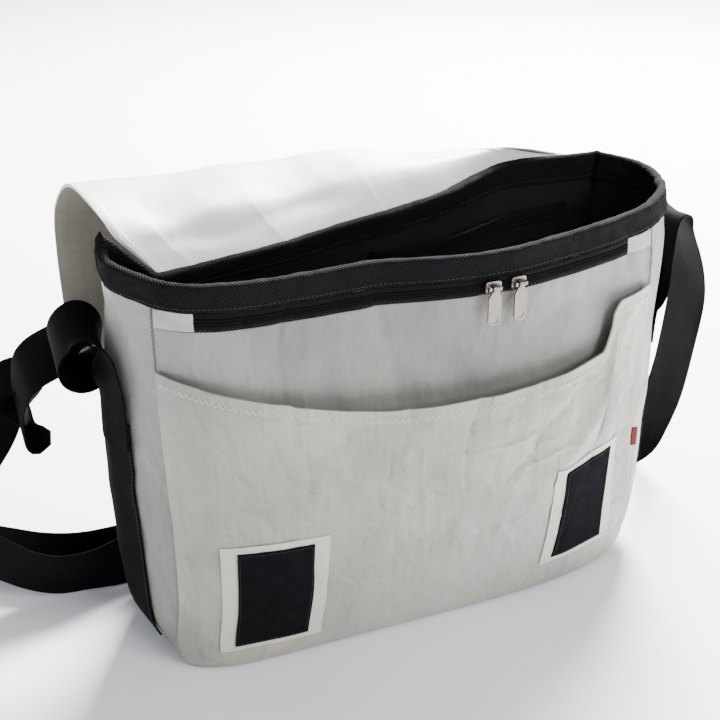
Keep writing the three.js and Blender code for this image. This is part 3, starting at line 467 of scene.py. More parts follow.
@dataclass(frozen=True)
class Fabric:
    """A cloth's finish.

    Attributes:
        name: Material's name.
        colour: Its colour.
        shade: The colour that patches of it turn to.
        weave: How its threads lie.
        pitch: Distance between threads, in metres.
        relief: Height of the threads, in metres.
        roughness: Roughness of its threads.
        sheen: Fuzz that catches light at its edges.
        patches: Patches of shade in a metre.
        cover: How much of the shade shows.
        crinkle: Height of fine creases, in metres.
        coat: Gloss of a coating.
        gap_shade: How dark the painted shade in the hollows between threads is.
        lines: How dark the bold lines of the grid are, none where it is 0.
        shine: Reflection of its surface.
        blots: Cloudy darker and paler patches in a metre, none where it is 0.
    """

    name: str
    colour: tuple[float, float, float]
    shade: tuple[float, float, float]
    weave: Weave
    pitch: float
    relief: float
    roughness: float = 0.75
    sheen: float = 0.0
    patches: float = 9.0
    cover: float = 0.6
    crinkle: float = 0.0
    coat: float = 0.0
    gap_shade: float = 0.12
    lines: float = 0.0
    shine: float = 0.35
    blots: float = 0.0

    def threads(self, paint: Paint, u: Wire, v: Wire, flat: Wire) -> Wire:
        """Height of the weave from 0 to 1, each kind from sines of the flat places.

        Args:
            paint: The material.
            u: Place across the cloth.
            v: Place along the cloth.
            flat: Both places.

        Returns:
            The height.
        """
        p = self.pitch
        if self.weave is Weave.SAIL:
            weft = u.wave(p) ** 6.0
            warp = v.wave(p) ** 6.0
            return weft.math("MAXIMUM", warp)
        if self.weave is Weave.TWILL:
            return (u + v).wave(p) * 0.75 + (u - v).wave(p * 0.5) * 0.25
        if self.weave is Weave.HERRINGBONE:
            turned = v.math("PINGPONG", p * 3.2)
            return (u + turned * 1.1).wave(p) * 0.8 + v.wave(p * 0.5) * 0.2
        if self.weave is Weave.WEBBING:
            turned = u.math("PINGPONG", p * 1.0)
            return (v + turned * 0.35).wave(p) * 0.8 + u.wave(p * 0.45) * 0.2
        if self.weave is Weave.PILE:
            return paint.noise(flat, 1.0 / p, 2.0, 0.7)
        return u.wave(p) * 0.5 + v.wave(p) * 0.5

    def tone(self, paint: Paint, u: Wire, v: Wire, threads: Wire, patch: Wire) -> Wire:
        """Colour of the cloth: patches of its shade colour, painted shade between the threads, a
        bold grid and cloudy darker and paler patches.

        Args:
            paint: The material.
            u: Place across the cloth.
            v: Place along the cloth.
            threads: Height of the weave.
            patch: Noise of the patches.

        Returns:
            The colour.
        """
        share = ((patch - 0.5) * (2.2 * self.cover) + 0.5 * self.cover).clamp()
        tone = paint.blend(share, rgba(self.colour), rgba(self.shade))
        # Painted shade: the lower a thread lies, the more its colour turns to this dark one, which
        # the bold grid also uses.
        dark = rgba(tuple(c * 0.2 for c in self.shade))
        gap_shade_share = (1.0 - threads) * self.gap_shade
        tone = paint.blend(gap_shade_share.clamp(), tone, dark)
        if self.lines:
            bold = u.wave(self.pitch * 5) ** 40.0
            cross = v.wave(self.pitch * 5) ** 40.0
            grid = bold.math("MAXIMUM", cross) * self.lines
            tone = paint.blend(grid.clamp(), tone, dark)
        if self.blots:
            # Cloudy patches: darker clouds, then a paler bluish wash.
            cloudy = paint.noise(paint.object_place((1, 1, 0.7)), self.blots, 5.0, 0.62)
            edge = ((cloudy - 0.5) * 5.0 + 0.5).clamp()
            tone = paint.blend(edge * 0.5, tone, rgba(tuple(c * 0.74 for c in self.shade)))
            wash = paint.noise(paint.object_place((1, 1, 0.8)), self.blots * 0.55, 2.0, 0.5)
            pale = tuple(c * k for c, k in zip(self.colour, (1.06, 1.12, 1.30)))
            tone = paint.blend(((wash - 0.5) * 4.0).clamp() * 0.8, tone, rgba(pale))
        return tone

    def made(self) -> bpy.types.Material:
        """The material, made once and then shared.

        Returns:
            The material.
        """
        known = bpy.data.materials.get(self.name)
        if known is not None:
            return known
        paint = Paint(self.name)
        u, v, flat = paint.places()
        place = paint.object_place()
        threads = self.threads(paint, u, v, flat)
        patch = paint.noise(place, self.patches, 4.0, 0.55)
        fuzz = paint.noise(flat, 900.0, 2.0, 0.6)
        rough = self.roughness + (patch - 0.5) * 0.16 + (fuzz - 0.5) * 0.12
        below = None
        if self.crinkle:
            soft = paint.noise(paint.object_place((1, 1, 0.45)), 34.0, 3.0, 0.5)
            fold = 1.0 - ((soft - 0.5) * 9.0).math("ABSOLUTE").math("MINIMUM", 1.0)
            fine = paint.noise(place, 120.0, 4.0, 0.6)
            below = paint.relief(fold * 0.55 + fine * 0.45, self.crinkle, 1.0)
        values = {
            "Base Color": self.tone(paint, u, v, threads, patch),
            "Roughness": rough.clamp(),
            "Sheen Weight": self.sheen,
            "Sheen Roughness": 0.45,
            "Coat Weight": self.coat,
            "Coat Roughness": 0.35,
            "Specular IOR Level": self.shine,
            "Normal": paint.relief(threads * 0.85 + fuzz * 0.15, self.relief, 1.0, below),
        }
        for name, value in values.items():
            paint.feed(paint.shader.inputs[name], value)
        return paint.material


@dataclass(frozen=True)
class Metal:
    """A plated metal with faint smears and fine upright scratches.

    Attributes:
        name: Material's name.
        colour: Colour of the plating.
        roughness: Its roughness.
    """

    name: str
    colour: tuple[float, float, float]
    roughness: float

    def made(self) -> bpy.types.Material:
        """The material, made once and then shared.

        Returns:
            The material.
        """
        known = bpy.data.materials.get(self.name)
        if known is not None:
            return known
        paint = Paint(self.name)
        place = paint.object_place()
        smear = paint.noise(place, 260.0, 4.0, 0.6)
        dark = tuple(c * 0.72 for c in self.colour)
        tone = paint.blend((smear - 0.25).clamp(), rgba(self.colour), rgba(dark))
        paint.feed(paint.shader.inputs["Base Color"], tone)
        paint.shader.inputs["Metallic"].default_value = 1.0
        paint.feed(paint.shader.inputs["Roughness"], (self.roughness + smear * 0.18).clamp())
        scratch = paint.noise(paint.object_place((1, 1, 6)), 700.0, 2.0, 0.5)
        paint.feed(paint.shader.inputs["Normal"], paint.relief(scratch, 0.00004, 0.5))
        return paint.material


@dataclass(frozen=True)
class Moulded:
    """A moulded plastic or a thread: one colour with a fine grain.

    Attributes:
        name: Material's name.
        colour: Its colour.
        roughness: Its roughness.
        grain: Height of the grain, in metres.
    """

    name: str
    colour: tuple[float, float, float]
    roughness: float
    grain: float = 0.00003

    def made(self) -> bpy.types.Material:
        """The material, made once and then shared.

        Returns:
            The material.
        """
        known = bpy.data.materials.get(self.name)
        if known is not None:
            return known
        paint = Paint(self.name)
        place = paint.object_place()
        speck = paint.noise(place, 1400.0, 3.0, 0.6)
        cloud = paint.noise(place, 60.0, 3.0, 0.5)
        dark = tuple(c * 0.6 for c in self.colour)
        tone = paint.blend((cloud - 0.2).clamp(), rgba(self.colour), rgba(dark))
        paint.feed(paint.shader.inputs["Base Color"], tone)
        paint.feed(paint.shader.inputs["Roughness"], (self.roughness + (speck - 0.5) * 0.2).clamp())
        paint.feed(paint.shader.inputs["Normal"], paint.relief(speck, self.grain, 0.8))
        return paint.material


class Finish(Enum):
    """The bag's finishes, each with the record's material slot."""

    SAILCLOTH = "sailcloth_grey"
    POCKET = "pocket_sailcloth"
    FLAP = "flap_coated"
    REINFORCEMENT = "reinforcement_cloth"
    ZIP_END = "zip_end_cloth"
    LINING = "lining_black"
    BINDING = "binding_black"
    ZIP = "zip_black"
    WEBBING = "webbing_black"
    HOOKS = "hook_fastener"
    NICKEL = "nickel"
    PLASTIC = "plastic_black"
    TAG = "tag_red"

    def material(self) -> bpy.types.Material:
        """The finish's material."""
        return FINISHES[self].made()


FINISHES: dict[Finish, Fabric | Metal | Moulded] = {
    Finish.SAILCLOTH: Fabric(
        "grey sailcloth", (0.270, 0.258, 0.226), (0.150, 0.149, 0.142), Weave.SAIL, 0.0011,
        0.00006, 0.50, 0.1, 14, 0.9, 0.0012, 0.15, 0.16, 0.10, blots=9.0),
    Finish.POCKET: Fabric(
        "cream sailcloth", (0.45, 0.415, 0.325), (0.255, 0.247, 0.222), Weave.SAIL, 0.0011,
        0.00005, 0.48, 0.1, 11, 1.0, 0.0015, 0.18, 0.14, 0.10, blots=7.0),
    Finish.FLAP: Fabric(
        "white coated twill", (0.84, 0.845, 0.84), (0.76, 0.765, 0.765), Weave.TWILL, 0.0019,
        0.00016, 0.50, 0.0, 8, 0.5, 0.0002, 0.25, 0.07, 0.0),
    Finish.REINFORCEMENT: Fabric(
        "pale reinforcement cloth", (0.56, 0.535, 0.46), (0.47, 0.455, 0.40), Weave.SAIL,
        0.0011, 0.00005, 0.6, 0.1, 14, 0.6, 0.0003, 0.1, 0.06, 0.03),
    Finish.ZIP_END: Fabric(
        "zip end cloth", (0.42, 0.40, 0.34), (0.24, 0.25, 0.265), Weave.SAIL, 0.0011,
        0.00005, 0.6, 0.1, 60, 0.7, 0.0002, 0.1, 0.08, 0.04),
    Finish.LINING: Fabric(
        "black lining", (0.007, 0.007, 0.008), (0.012, 0.012, 0.013), Weave.PLAIN, 0.0006,
        0.00008, 0.8, 0.0, 20, 0.6, 0.0006, shine=0.1),
    Finish.BINDING: Fabric(
        "black binding tape", (0.009, 0.009, 0.0105), (0.016, 0.016, 0.018), Weave.HERRINGBONE,
        0.0026, 0.0005, 0.85, 0.0, 40, 0.6, 0.0003, 0.0, 1.3, shine=0.05),
    Finish.ZIP: Fabric(
        "black zip tape", (0.003, 0.003, 0.004), (0.007, 0.007, 0.0085), Weave.HERRINGBONE,
        0.0022, 0.0003, 0.75, 0.0, 60, 0.6, 0.0001, 0.0, 0.9, shine=0.07),
    Finish.WEBBING: Fabric(
        "black webbing", (0.0026, 0.0026, 0.0036), (0.0045, 0.0045, 0.006), Weave.WEBBING, 0.0019,
        0.00025, 0.85, 0.0, 40, 0.6, 0.0, 0.0, 0.6, shine=0.05),
    Finish.HOOKS: Fabric(
        "black hook fastener", (0.004, 0.004, 0.005), (0.009, 0.009, 0.011), Weave.PILE, 0.0011,
        0.0007, 0.95, 0.0, 120, 0.7, shine=0.05),
    Finish.NICKEL: Metal("plated nickel", (0.21, 0.19, 0.17), 0.26),
    Finish.PLASTIC: Moulded("black plastic", (0.02, 0.02, 0.021), 0.4),
    Finish.TAG: Fabric(
        "red woven tag", (0.13, 0.006, 0.009), (0.09, 0.004, 0.006), Weave.PLAIN, 0.0007, 0.00012),
}
FLAP_BACK = Fabric(
    "flap outer sailcloth", (0.26, 0.24, 0.205), (0.21, 0.195, 0.165), Weave.SAIL, 0.0016,
    0.00008, 0.62, 0.1, 12, 0.7, 0.0004, 0.08, 0.18, 0.12)
PALE_THREAD = Moulded("pale thread", (0.74, 0.72, 0.66), 0.6)
BLACK_THREAD = Moulded("black thread", (0.010, 0.010, 0.012), 0.6)
# Dark seam thread, sewn almost unbroken: the stitching, and also a painted shade line along the
# seams.
SEAM_THREAD_AND_SHADE = Moulded("seam thread and shade", (0.07, 0.07, 0.07), 0.7)
WHITE_FLOOR = (0.90, 0.915, 0.95)


# ------------------------------------------------------------------ meshes
@dataclass
class Piece:
    """Where a finished mesh goes in the bag.

    Attributes:
        name: Object's name.
        nodes: Frame nodes that it stands for.
        finish: Its finish.
        body: Frame body that it rides on.
        bevel: Rounding of its edges, in metres.
        sharp: Angle past which an edge stays sharp, in degrees.
        extra: More materials after the first.
    """

    name: str
    nodes: Sequence[str]
    finish: Finish
    body: str = "bag"
    bevel: float = 0.0
    sharp: float = 40.0
    extra: Sequence[bpy.types.Material] = ()

    def dress(
        self, mesh: bpy.types.Mesh, material: bpy.types.Material | None = None
    ) -> bpy.types.Object:
        """Puts the mesh in the scene with its finish and its place in the frame.

        Args:
            mesh: The mesh, in metres.
            material: A material in place of the finish's own.

        Returns:
            The object.
        """
        mesh.name = self.name
        if mesh.materials:
            mesh.materials.clear()
        mesh.materials.append(material or self.finish.material())
        for other in self.extra:
            mesh.materials.append(other)
        mesh.polygons.foreach_set("use_smooth", np.ones(len(mesh.polygons), bool))
        mesh.set_sharp_from_angle(angle=math.radians(self.sharp))
        piece = bpy.data.objects.new(self.name, mesh)
        bpy.context.scene.collection.objects.link(piece)
        if self.bevel:
            bevel = piece.modifiers.new("edge", "BEVEL")
            bevel.width = self.bevel
            bevel.segments = 2
            bevel.limit_method = "ANGLE"
            bevel.angle_limit = math.radians(50)
        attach(piece, self.body)
        if self.nodes:
            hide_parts(*self.nodes)
        LOG.info("%s: %d faces", self.name, len(mesh.polygons))
        return piece


def mesh_of(
    points: Array, faces: Array, flat: Array | None = None, sides: Array | None = None
) -> bpy.types.Mesh:
    """Mesh of points and four-sided faces, turned so that its faces point outwards.

    Args:
        points: Points in millimetres.
        faces: Corner numbers, four to a face.
        flat: Flat cloth places of each face's corners, in metres.
        sides: Material number of each face.

    Returns:
        The mesh, in metres.
    """
    a, b, c, d = (points[faces[:, k]] for k in range(4))
    volume = (np.cross(a, b) * c).sum() + (np.cross(a, c) * d).sum()
    if volume < 0:
        faces = faces[:, ::-1]
        flat = None if flat is None else flat[:, ::-1]
    mesh = bpy.data.meshes.new("piece")
    mesh.from_pydata((points * MM).tolist(), [], faces.tolist())
    if flat is not None:
        layer = mesh.uv_layers.new(name="flat")
        layer.data.foreach_set("uv", flat.reshape(-1).astype(np.float32))
    if sides is not None:
        mesh.polygons.foreach_set("material_index", sides.astype(np.int32))
    mesh.update()
    return mesh


def cells(grid: Array) -> Array:
    """The four corners of each cell of a grid, one row for each cell."""
    corners = (grid[:-1, :-1], grid[:-1, 1:], grid[1:, 1:], grid[1:, :-1])
    return np.stack(corners, 2).reshape(-1, 4, *grid.shape[2:])


def slab(
    outer: Array, inner: Array, closed: bool = False, flat: Array | None = None
) -> bpy.types.Mesh:
    """Closed cloth between two grids of points, with a rim of faces round its edge.

    Args:
        outer: Points of the outer face, (rows, columns, 3), in millimetres.
        inner: Points of the inner face, of the same shape.
        closed: Whether the last column meets the first.
        flat: Flat cloth places, one column more than the points where closed.

    Returns:
        The mesh, material 0 outside and on the rim and 1 inside.
    """
    rows, columns = outer.shape[:2]
    index = np.arange(rows * columns).reshape(rows, columns)
    if closed:
        index = np.concatenate([index, index[:, :1]], 1)
    if flat is None:
        whole = np.concatenate([outer, outer[:, :1]], 1) if closed else outer
        flat = flat_map(whole)
    count = rows * columns
    face = cells(index[..., None])[..., 0]
    places = cells(flat)
    faces = [face, face[:, ::-1] + count]
    flats = [places, places[:, ::-1]]
    edges = [(index[0], flat[0], False), (index[-1], flat[-1], True)]
    if not closed:
        edges += [(index[:, 0], flat[:, 0], True), (index[:, -1], flat[:, -1], False)]
    for line, spots, turned in edges:
        rim = np.stack([line[:-1], line[:-1] + count, line[1:] + count, line[1:]], 1)
        shift = spots + 0.0012
        spot = np.stack([spots[:-1], shift[:-1], shift[1:], spots[1:]], 1)
        faces.append(rim[:, ::-1] if turned else rim)
        flats.append(spot[:, ::-1] if turned else spot)
    sides = np.zeros(sum(len(f) for f in faces), int)
    sides[len(face) : 2 * len(face)] = 1
    points = np.concatenate([outer.reshape(-1, 3), inner.reshape(-1, 3)])
    return mesh_of(points, np.concatenate(faces), np.concatenate(flats), sides)


def thread(
    starts: Array, ends: Array, normals: Array, radius: float, rise: float = 0.6
) -> bpy.types.Mesh:
    """Stitches: short round threads that dip into the cloth at both ends.

    Each is five rings of six points along its line; the rings shrink and sink towards
    the ends with the square of the distance from the middle.

    Args:
        starts: Where each stitch begins, in millimetres.
        ends: Where each stitch ends.
        normals: The cloth's normal at each stitch.
        radius: Half the thread's thickness.
        rise: How far its middle stands out, in radii.

    Returns:
        The mesh of them all.
    """
    share = np.array([-0.5, -0.36, 0.0, 0.36, 0.5])
    swell = 1 - 0.75 * (2 * share) ** 4
    sink = rise - 1.4 * (2 * share) ** 2
    turn = np.arange(6) * math.pi / 3
    line = ends - starts
    side = unit(np.cross(unit(line), normals))
    middle = (starts + ends) / 2
    spine = middle[:, None] + line[:, None] * share[:, None]
    spine = spine + normals[:, None] * (sink * radius)[:, None]
    ring = side[:, None, None] * np.cos(turn)[:, None]
    ring = ring + normals[:, None, None] * np.sin(turn)[:, None]
    points = spine[:, :, None] + ring * (swell * radius)[:, None, None]
    count, rings, around = points.shape[:3]
    index = np.arange(rings * around).reshape(rings, around)
    index = np.concatenate([index, index[:, :1]], 1)
    face = cells(index[..., None])[..., 0]
    first, last = index[0, :6], index[-1, :6]
    caps = (first[[0, 3, 2, 1]], first[[0, 5, 4, 3]], last[[0, 1, 2, 3]], last[[0, 3, 4, 5]])
    one = np.concatenate([face, caps])
    faces = (one[None] + (np.arange(count) * rings * around)[:, None, None]).reshape(-1, 4)
    return mesh_of(points.reshape(-1, 3), faces)


def resampled(path: Array, step: float, *others: Array) -> list[Array]:
    """A path and what goes with it, at even steps along its length.

    Args:
        path: Points along it.
        step: Distance between new points.
        others: Arrays with a row for each point.

    Returns:
        The new path and the new arrays.
    """
    length = lengths(path)
    count = max(int(length[-1] / step), 2)
    at = np.linspace(0, length[-1], count + 1)
    return [
        np.stack([np.interp(at, length, row[:, k]) for k in range(row.shape[1])], 1)
        for row in (path, *others)
    ]


def stitch_row(
    path: Array, normals: Array, pitch: float, radius: float, part: float = 0.72
) -> bpy.types.Mesh:
    """A straight row of stitches along a path.

    Args:
        path: Points along the seam.
        normals: The cloth's normal at each.
        pitch: Distance from one stitch to the next.
        radius: Half the thread's thickness.
        part: Share of the pitch that a stitch fills.

    Returns:
        The mesh.
    """
    path, normals = resampled(path, pitch, normals)
    starts, ends = path[:-1], path[:-1] + (path[1:] - path[:-1]) * part
    return thread(starts, ends, unit(normals[:-1]), radius)


def zigzag_row(
    path: Array, normals: Array, pitch: float, width: float, radius: float
) -> bpy.types.Mesh:
    """A zigzag row of stitches: every second point steps aside by the width.

    Args:
        path: Points along the seam.
        normals: The cloth's normal at each.
        pitch: Distance from one turn to the next.
        width: How far the row swings.
        radius: Half the thread's thickness.

    Returns:
        The mesh.
    """
    path, normals = resampled(path, pitch, normals)
    normals = unit(normals)
    aside = unit(np.cross(np.gradient(path, axis=0), normals))
    swing = np.where(np.arange(len(path)) % 2 == 0, 0.5, -0.5) * width
    path = path + aside * swing[:, None]
    return thread(path[:-1], path[1:], normals[:-1], radius, 0.8)


def sewn(name: str, finish: Finish, row: bpy.types.Mesh, yarn: Moulded) -> None:
    """Puts a row of stitches in the scene; it stands for no node of the frame."""
    Piece(name, [], finish).dress(row, yarn.made())


# ------------------------------------------------------------------ the bag's form
SECTIONS = np.array([
    # height, front left x y, left ridge out y, back left x y, back right x y,
    # right ridge out y, front right x y; swell in front, at the back, powers of the left
    # gusset behind and before its ridge, pinch of the front beside its right seam
    [0.0, -0.958, -0.98, 0.2, 0.0, -0.92, 0.91, 0.905, 0.91, 0.5, 0.0, 0.93, -0.84,
     0.72, 0.4, 2.0, 2.0, 0.0],
    [0.03, -0.985, -1.01, 0.36, 0.04, -0.975, 0.98, 0.975, 0.98, 0.6, 0.0, 0.985, -0.86,
     0.82, 0.6, 1.8, 1.8, 0.2],
    [0.08, -1.0, -1.02, 0.58, 0.08, -1.0, 1.0, 1.01, 1.0, 0.74, 0.0, 1.02, -0.88,
     0.9, 0.8, 1.5, 1.4, 0.5],
    [0.2, -0.985, -1.02, 0.86, 0.1, -1.0, 1.0, 1.025, 1.0, 0.9, 0.0, 1.022, -0.9,
     1.05, 1.0, 1.3, 1.2, 1.0],
    [0.4, -0.985, -1.02, 0.98, 0.1, -1.0, 0.91, 1.025, 1.0, 1.0, 0.0, 1.01, -0.9,
     1.15, 1.0, 1.2, 1.2, 1.0],
    [0.62, -1.0, -1.02, 0.96, 0.08, -0.995, 0.69, 1.03, 0.98, 0.97, 0.0, 1.015, -0.91,
     1.08, 0.8, 1.2, 1.3, 0.6],
    [0.82, -1.005, -1.02, 0.92, 0.0, -0.975, 0.27, 1.05, 0.91, 0.89, -0.04, 1.03, -0.91,
     1.05, 0.4, 1.1, 2.0, 0.2],
    [1.0, -1.01, -1.0, 0.98, -0.05, -0.935, -0.27, 1.08, 0.84, 0.76, -0.09, 1.01, -0.91,
     1.1, 0.0, 1.0, 4.0, 0.0],
])


@dataclass(frozen=True)
class BagForm:
    """The outside of the bag, as a function of place round its ring and of height.

    The ring is counted in 50 columns, counter-clockwise from the front left seam: 22 on the
    front, 6 on the right gusset, 16 on the back and 6 on the left gusset.

    Attributes:
        half_width: Half the width between the front seams.
        half_depth: Half the depth at the middle.
        rim_height: Height of the rim.
        base_lift: Height of the walls' lower edge.
        left_bulge: How far the left gusset's ridge stands out.
        right_bulge: How far the right gusset's ridge stands out.
        front_swell: How far the front swells.
        back_swell: How far the back swells.
        front_wave: Depth of the wave along the front's rim.
        back_wave: Depth of the wave along the back's rim.
        rim_tilt: Rise and fall of the rim.
        slack: Size of the folds in the walls.
    """

    half_width: float = 190.0
    half_depth: float = 55.0
    rim_height: float = 312.0
    base_lift: float = 2.1
    left_bulge: float = 27.0
    right_bulge: float = 35.0
    front_swell: float = 24.0
    back_swell: float = 10.0
    front_wave: float = 8.0
    back_wave: float = 28.0
    rim_tilt: float = 17.0
    slack: float = 1.0

    def front_share(self, column: Array) -> Array:
        """Share of the front's width at a column, closer together beside the seams."""
        even = np.clip(column / RIGHT_FRONT, 0, 1)
        return mix(even, (1 - np.cos(np.pi * even)) / 2, 0.6)

    def bow(self, step: Array, behind: Array, before: Array) -> Array:
        """How far a gusset stands out, on a smooth curve through its seven steps.

        Each step is one less a power of its distance from the middle.

        Args:
            step: Place across the gusset, 0 to 6.
            behind: Power of the steps before the middle.
            before: Power of the steps after it.

        Returns:
            Shares of 0 to 1.
        """
        k = np.clip(np.floor(step), 0, GUSSET_COLUMNS - 1)

        def share(i: Array) -> Array:
            """A step's own share, mirrored and turned round past both ends.

            Args:
                i: The step.

            Returns:
                Its share.
            """
            past = i > GUSSET_COLUMNS
            t = np.where(i < 0, -i, np.where(past, 2 * GUSSET_COLUMNS - i, i)) / GUSSET_COLUMNS
            value = 1 - np.abs(2 * t - 1) ** np.where(t < 0.5, behind, before)
            return np.where((i < 0) | past, -value, value)

        a, b, c, d = (share(k + i) for i in (-1, 0, 1, 2))
        return hermite(step - k, b, (c - a) / 2, c, (d - b) / 2)

    def folds(self, base: Array, height: Array) -> Array:
        """How far the slack walls bend in and out: long upright swells, finer ones over
        them, and sharp upright folds where the size of a third wave is near nothing.

        Args:
            base: Points of the taut form.
            height: Share of the rim's height.

        Returns:
            Distances out of the bag, in millimetres.
        """
        calm = smooth(height / 0.07) * (1 - 0.5 * smooth((height - 0.86) / 0.14))
        calm = calm * (1 - 0.6 * smooth((0.46 - height) / 0.1))
        long = swells(base, 78, 11, 2.2) * 1.5 + swells(base, 31, 12, 2.6) * 0.55
        sharp = 1.5 * np.exp(-np.abs(swells(base, 88, 13, 3.0)) / 0.10)
        return self.slack * calm * (long + 0.5 - sharp)

    def place(self, column: Array, height: Array) -> Array:
        """Point of the outside, with its slack folds.

        Args:
            column: Place round the ring, in columns.
            height: Share of the rim's height.

        Returns:
            Points in millimetres.
        """
        base = self.taut(column, height)
        way = self.taut(column + 0.25, height) - self.taut(column - 0.25, height)
        level = unit(np.stack([way[..., 1], -way[..., 0], np.zeros_like(way[..., 0])], -1))
        return base + level * self.folds(base, np.broadcast_to(height, base.shape[:-1]))[..., None]

    def taut(self, column: Array, height: Array) -> Array:
        """Point of the taut outside: each side is a line between two seams that swells out.

        Args:
            column: Place round the ring, in columns.
            height: Share of the rim's height.

        Returns:
            Points in millimetres.
        """
        column, height = np.broadcast_arrays(np.mod(column, RING), height)
        row = table_at(SECTIONS, np.clip(height, 0, 1.0))
        wide, deep = self.half_width, self.half_depth
        front_left = row[..., 0:2] * (wide, deep)
        back_left = row[..., 4:6] * (wide, deep)
        back_right = row[..., 6:8] * (wide, deep)
        front_right = row[..., 10:12] * (wide, deep)
        left = np.stack([-row[..., 2] * self.left_bulge,
                         row[..., 3] * deep - (front_left[..., 1] + back_left[..., 1]) / 2], -1)
        right = np.stack([row[..., 8] * self.right_bulge,
                          row[..., 9] * deep - (front_right[..., 1] + back_right[..., 1]) / 2], -1)
        lift = np.clip(height, 0, 1.05) ** 3
        u = self.front_share(column)
        full = 1 - np.abs(2 * u - 1) ** 4.2
        pinched = 1 - smooth(4 * u - 3)
        swell = np.where(u < 0.5, 1 - np.abs(1 - 2 * u) ** 10, mix(full, pinched, row[..., 16]))
        wave = self.front_wave * lift * (hump(u, 0.60, 0.13) - hump(u, 0.38, 0.13))
        front = mix(front_left, front_right, u[..., None])
        front[..., 1] -= row[..., 12] * self.front_swell * swell + wave
        t = np.clip((column - RIGHT_FRONT) / GUSSET_COLUMNS, 0, 1)
        even = np.full_like(t, 2.2)
        side_right = mix(front_right, back_right, t[..., None])
        side_right = side_right + right * self.bow(t * GUSSET_COLUMNS, even, even)[..., None]
        b = np.clip((column - RIGHT_BACK) / BACK_COLUMNS, 0, 1)
        sag = self.back_wave * lift * (hump(b, 0.2, 0.14) - 0.25 * hump(b, 0.8, 0.18))
        back = mix(back_right, back_left, b[..., None])
        back[..., 1] += row[..., 13] * self.back_swell * np.sin(np.pi * b) + sag
        s = np.clip((column - LEFT_BACK) / GUSSET_COLUMNS, 0, 1)
        side_left = mix(back_left, front_left, s[..., None])
        bowed = self.bow(s * GUSSET_COLUMNS, row[..., 14], row[..., 15])
        side_left = side_left + left * bowed[..., None]
        tilt = self.rim_tilt
        rises = [
            -0.25 * tilt * np.sin(np.pi * u),
            0.6 * tilt * t + 0.1 * tilt * np.sin(np.pi * t),
            mix(0.6 * tilt, -0.7 * tilt, b),
            np.where(s < 0.5, mix(-0.7, 1.0, 2 * s) * tilt, (2 - 2 * s) ** 2 * tilt),
        ]
        sides = [column < RIGHT_FRONT, column < RIGHT_BACK, column < LEFT_BACK]
        rise = np.select(sides, rises[:3], rises[3])
        x = np.select(sides, [front[..., 0], side_right[..., 0], back[..., 0]], side_left[..., 0])
        y = np.select(sides, [front[..., 1], side_right[..., 1], back[..., 1]], side_left[..., 1])
        z = mix(self.base_lift, self.rim_height, height) + lift * rise
        return np.stack([x, y, z], -1)

    def outward(self, column: Array, height: Array) -> Array:
        """Level direction out of the bag, square to half a column of the ring.

        Args:
            column: Place round the ring, in columns.
            height: Share of the rim's height.

        Returns:
            Unit directions.
        """
        way = self.place(column + 0.25, height) - self.place(column - 0.25, height)
        level = np.stack([way[..., 1], -way[..., 0], np.zeros_like(way[..., 0])], -1)
        return unit(level)

    def at(self, column: Array, height: Array, offset: Array | float) -> Array:
        """Point moved out of the bag by an offset.

        Args:
            column: Place round the ring, in columns.
            height: Share of the rim's height.
            offset: Distance out of the bag.

        Returns:
            Points in millimetres.
        """
        column, height = np.broadcast_arrays(column, height)
        away = self.outward(column, height) * np.asarray(offset)[..., None]
        return self.place(column, height) + away

    def level_of(self, drop: Array | float) -> Array | float:
        """Share of the rim's height at a distance below it."""
        return 1 - drop / self.rim_height

    def walk(self, height: Array, start: float, distance: Array) -> Array:
        """Columns at distances along each height's ring from a starting column.

        Args:
            height: One height for each row.
            start: The starting column.
            distance: Distances to walk, positive counter-clockwise.

        Returns:
            Columns of shape (heights, distances).
        """
        near = np.linspace(-12, 12, 481)
        found = []
        for h in np.atleast_1d(height):
            ring = self.place(start + near, np.full_like(near, h))
            length = lengths(ring[:, :2])
            length = length - np.interp(0, near, length)
            found.append(start + np.interp(distance, length, near))
        return np.array(found)


